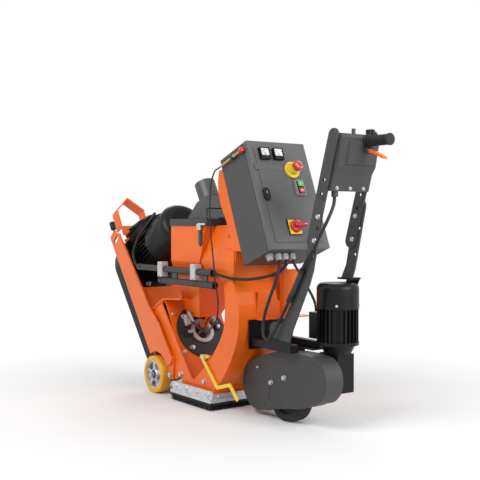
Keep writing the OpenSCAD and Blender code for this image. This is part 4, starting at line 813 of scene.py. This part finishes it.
# surround of the start and off buttons, bare strip under the meters and foam ring behind the door
press = {"across": 58, "start": 181, "off": 209, "outer": (61, 39.4, 6), "inner": (55, 33.4, 4),
         "height": (3.1, 16), "stem": 7.9, "sunk": -15.9, "stemTop": 18.2, "cap": (22, 24, 2.4),
         "capHeight": (18.15, 20.4), "bevel": 0.8, "bar": (9, 1.6, 0.6), "dot": 4.4, "mark": (20.3, 20.6)}
strip = {"sides": (98, 121, -131, 9), "height": (2.95, 3.6), "bevel": 0.3}
foam = {"middle": (220, 0), "outer": (435, 278, 6), "inner": (425, 268, 4), "height": (-24.4, -21.95)}
trim = Form()
middle = ((press["start"] + press["off"]) / 2, press["across"])
trim.pierced(rounded(*press["outer"], 6) + middle, rounded(*press["inner"], 6) + middle,
             *press["height"], onDoor)
trim.slab(oblong(*strip["sides"]), *strip["height"], onDoor, 1, strip["bevel"])
trim.pierced(rounded(*foam["outer"], 5, foam["middle"]), rounded(*foam["inner"], 5, foam["middle"]),
             *foam["height"], onDoor, 2)
trim.piece("door_trim", "cabinet_door", "paleGrey", "stripGrey", "gasket", smooth=20)

# button caps: a bar on the start button, a dot on the off button
for name, node, tone, mark in (("start_cap", "start_button", "green", rounded(*press["bar"], 3)),
                               ("off_cap", "off_button", "red", disc(press["dot"], sides=28))):
    onPress = onDoor.at(press[node.split("_")[0]], press["across"])
    button = Form()
    stem, low, high = press["stem"], press["sunk"], press["stemTop"]
    button.turned([(0.1, low), (stem, low), (stem, high), (0.1, high)], onPress, 40)
    button.slab(rounded(*press["cap"], 5), *press["capHeight"], onPress, 0, press["bevel"])
    button.slab(mark, *press["mark"], onPress, 1)
    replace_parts(button.piece(name, node, tone, "dial", smooth=30), node)

# door lock: barrel, cam behind the door, oval face, key ring and key slot
lock = {"down": 222, "across": -107, "barrel": (9.3, -19.9, 4), "cam": (-9, 9, -26, 8),
        "camHeight": (-20, -16), "face": (53, 28, 13.9), "faceHeight": (3.15, 9.2), "bevel": 1.6,
        "ring": [(5.4, 9), (9.6, 9), (9.6, 10.2), (8.8, 11), (5.4, 11)], "ringDown": -6,
        "slot": (-14.5, 2.5, -1.5, 1.5), "slotHeight": (9.1, 9.9)}
onLock = onDoor.at(lock["down"], lock["across"])
latchLock = Form()
wide, low, high = lock["barrel"]
latchLock.turned([(0.1, low), (wide, low), (wide, high), (0.1, high)], onLock, 40)
latchLock.slab(oblong(*lock["cam"]), *lock["camHeight"], onLock)
latchLock.slab(rounded(*lock["face"], 8), *lock["faceHeight"], onLock, 0, lock["bevel"])
latchLock.hoop(lock["ring"], onLock.at(lock["ringDown"], 0), 32)
latchLock.slab(oblong(*lock["slot"]), *lock["slotHeight"], onLock, 1)
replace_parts(latchLock.piece("lock_face", "door_lock", "black", "steel", smooth=30), "door_lock")

# cable glands under the cabinet: hexagon nut, ribbed cap of radius cap + rib sign(sin(ribs a)) and seal ring
gland = {"across": (-112, -71, -39, -3), "down": 440, "in": -60, "nut": 14.4, "nutHeight": (0.2, 10.3),
         "nutBevel": 0.9, "cap": 12, "rib": 0.4, "ribs": 16, "ribStart": 0.1, "capHeight": (10.2, 19),
         "capBevel": 0.5, "seal": [(6.4, 18.9), (11.8, 18.9), (11.8, 22.2), (10.6, 23), (6.4, 23)]}
glands = Form()
for y in gland["across"]:
    foot = onDoor.at(gland["down"], y, gland["in"]).origin
    below = Setting(foot, (0, 1, 0), [-v for v in doorOut], doorDown)
    glands.slab(disc(gland["nut"], sides=6)[:, ::-1], *gland["nutHeight"], below, 0, gland["nutBevel"])
    ribbed = gland["cap"] + gland["rib"] * np.sign(np.sin(around(128) * gland["ribs"] + gland["ribStart"]))
    glands.slab(disc(ribbed, sides=128), *gland["capHeight"], below, 0, gland["capBevel"])
    glands.hoop(gland["seal"], below, 40)
glands.piece("gland_nuts", "machine", "glandGrey", smooth=30)
print("door dressed")

# pull knob: red ball, brass rod and hexagon nut on the rod, all as (radius, height) on the rod's own axis
pull = {"place": (332, -152.2, 1031), "lean": 68,
        "ball": [(0.1, -12.9), (6.5, -12.9), (8, -11), (9.5, -5), (9.9, 0), (9.9, 6), (9, 9.4), (6.5, 10.9),
                 (0.1, 10.9)],
        "rod": [(0.1, -149.9), (3.9, -149.9), (3.9, -12), (0.1, -12)],
        "nut": [(3.5, -55), (6.8, -55), (7, -54.4), (7, -48.6), (6.8, -48), (3.5, -48)]}
rise, run = math.sin(math.radians(pull["lean"])), math.cos(math.radians(pull["lean"]))
onRod = Setting(pull["place"], (run, 0, -rise), (0, 1, 0), (rise, 0, run))
knob = Form()
knob.turned(pull["ball"], onRod, 40)
knob.turned(pull["rod"], onRod, 24, 1)
knob.hoop(pull["nut"], onRod, 6, 2)
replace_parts(knob.piece("pull_knob", "valve_knob", "red", "brass", "zinc", smooth=35), "valve_knob")

# ribbed hand grip with a flange at the box and a round end
handGrip = {"place": (828.3, 30, 1037), "ribs": 9, "firstRib": 13, "ribPitch": 10,
            "flange": [(0.1, 0), (24.4, 0), (24.9, 0.6), (24.9, 7.2), (24.2, 7.9), (16.1, 8)],
            "rib": ((16.1, -0.6), (18.3, 0), (18.9, 0.9), (18.9, 5.1), (18.3, 6), (16.1, 6.6)),
            "end": [(16.1, 100.6), (20.3, 100.9), (20.9, 101.8), (20.9, 106.9), (19.6, 108.5), (15, 108.7),
                    (0.1, 108.7)]}
onGrip = Setting(handGrip["place"], (0, 1, 0), (0, 0, 1), (1, 0, 0))
ribs = [(radius, handGrip["firstRib"] + handGrip["ribPitch"] * i + along)
        for i in range(handGrip["ribs"]) for radius, along in handGrip["rib"]]
gripSleeve = Form()
gripSleeve.turned(handGrip["flange"] + ribs + handGrip["end"], onGrip, 64)
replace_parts(gripSleeve.piece("ribbed_grip", "machine", "rubber", smooth=30), "handle_grip")

# speed knob with a fluted rim, radius + depth cos(flutes a), and a pale pointer
dial = {"place": (809, 60, 0), "stem": (4.8, 1052.1, 1066), "radius": 15.5, "depth": 0.45, "flutes": 24,
        "height": (1062.4, 1080.3), "bevel": 1.5, "mark": [(-2, -1.9), (13.9, -1.2), (13.9, 1.2), (-2, 1.9)],
        "markHeight": (1080, 1083)}
onDial = Setting(dial["place"], (1, 0, 0), (0, 1, 0), (0, 0, 1))
speed = Form()
wide, low, high = dial["stem"]
speed.turned([(0.1, low), (wide, low), (wide, high), (0.1, high)], onDial, 32)
fluted = dial["radius"] + dial["depth"] * np.cos(around(144) * dial["flutes"])
speed.slab(disc(fluted, sides=144), *dial["height"], onDial, 0, dial["bevel"])
speed.slab(dial["mark"], *dial["markHeight"], onDial, 1)
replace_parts(speed.piece("fluted_knob", "speed_knob", "black", "dial", smooth=30), "speed_knob")

# protective sleeve on the handle's cable, with a short cuff at each end; radii in metres
sleeveLook = {"route": [(650, -114, 589.7), (622, -114, 545), (575, -116, 470)], "steps": 6,
              "radius": 0.0102, "cuff": 0.0108}
hose = Form()
leg = smoothRoute(sleeveLook["route"], sleeveLook["steps"])
hose.run(leg, sleeveLook["radius"], 20)
for end in (leg[:3], leg[-3:]):
    hose.run(end, sleeveLook["cuff"], 20, 1)
hose.piece("cable_guard", "machine", "conduit", "rubber", smooth=35)

# raised panel on the handle box, whose rim slopes in by its height less the edge
boxPanel = {"foot": (805.6, 0, 948), "lean": math.atan2(22, 98), "sides": (-58, 80, 5, 91), "proud": 6.5,
            "edge": 0.5}
rise, run = math.sin(boxPanel["lean"]), math.cos(boxPanel["lean"])
onBox = Setting(boxPanel["foot"], (0, 1, 0), (rise, 0, run), (run, 0, -rise))
panel = Form()
panel.slab(oblong(*boxPanel["sides"]), 0, boxPanel["proud"], onBox, 0, boxPanel["proud"] - boxPanel["edge"])
panel.piece("box_panel", "machine", "darkGrey", smooth=20)

# flap on the drive cover: an arc round the wheel's axle, then straight edges
coverFlap = {"centre": (308, 121), "radius": 98.4, "sweep": (84, 286), "height": (53.5, 55.6), "bevel": 0.6,
             "edge": [(352, 47), (381, 91), (390, 128), (372, 147), (322, 196)]}
turn = np.linspace(*np.radians(coverFlap["sweep"]), 40)
border = np.column_stack([np.cos(turn), np.sin(turn)]) * coverFlap["radius"] + coverFlap["centre"]
flap = Form()
flap.slab(border.tolist() + coverFlap["edge"], *coverFlap["height"], leftFace, 0, coverFlap["bevel"])
flap.piece("cover_flap", "machine", "darkGrey", smooth=25)
print("handle and cover dressed")

# floor that clears to white away from the machine, three soft lights and a pale world
studio = {"floor": 0.78, "floorRough": 0.9, "reach": 30, "clear": (0.65, 1.6), "sky": 0.43}
lights = {
    "keyLight": {"place": (0.6, -2.8, 2.9), "target": (0, 0, 0.45), "size": (2.4, 1.8), "power": 84},
    "fillLight": {"place": (3.4, 0.6, 1.9), "target": (0, 0, 0.5), "size": (1.8, 1.8), "power": 92},
    "rimLight": {"place": (-2.6, 1.6, 2.4), "target": (0, 0, 0.5), "size": (1.6, 1.6), "power": 45},
}
white = (1, 1, 1, 1)
corners = oblong(-studio["reach"], studio["reach"], -studio["reach"], studio["reach"])
floorMesh = bpy.data.meshes.new("floor")
floorMesh.from_pydata([(x, y, 0) for x, y in corners], [], [(0, 1, 2, 3)])
floor = bpy.data.objects.new("floor", floorMesh)
bpy.context.scene.collection.objects.link(floor)
floorLook = Finish("studioFloor", (studio["floor"],) * 3, studio["floorRough"])
away = (floorLook.axis(0) ** 2 + floorLook.axis(1) ** 2) ** 0.5
floorLook.close(away.steps(*studio["clear"]) * floorLook.seenDirectly(),
                Signal(floorLook, floorLook.shader.outputs[0]),
                floorLook.add("ShaderNodeEmission", {}, {"Color": white, "Strength": 1.0}), "Material Output")
floorMesh.materials.append(floorLook.material)
for name, look in lights.items():
    light = bpy.data.lights.new(name, "AREA")
    light.shape = "RECTANGLE"
    light.size, light.size_y = look["size"]
    light.energy = look["power"]
    lamp = bpy.data.objects.new(name, light)
    bpy.context.scene.collection.objects.link(lamp)
    lamp.location = look["place"]
    aim = Vector(look["target"]) - Vector(look["place"])
    lamp.rotation_euler = aim.to_track_quat("-Z", "Y").to_euler()
world = bpy.data.worlds.new("studio")
bpy.context.scene.world = world
world.use_nodes = True
sky = Sheet(world.node_tree)
ambient = world.node_tree.nodes["Background"]
ambient.inputs["Color"].default_value = white
ambient.inputs["Strength"].default_value = studio["sky"]
sky.close(sky.seenDirectly(), Signal(sky, ambient.outputs[0]),
          sky.add("ShaderNodeBackground", {}, {"Color": white, "Strength": 1.0}), "World Output")
bpy.context.scene.view_settings.view_transform = "Standard"

print("lights and floor set")
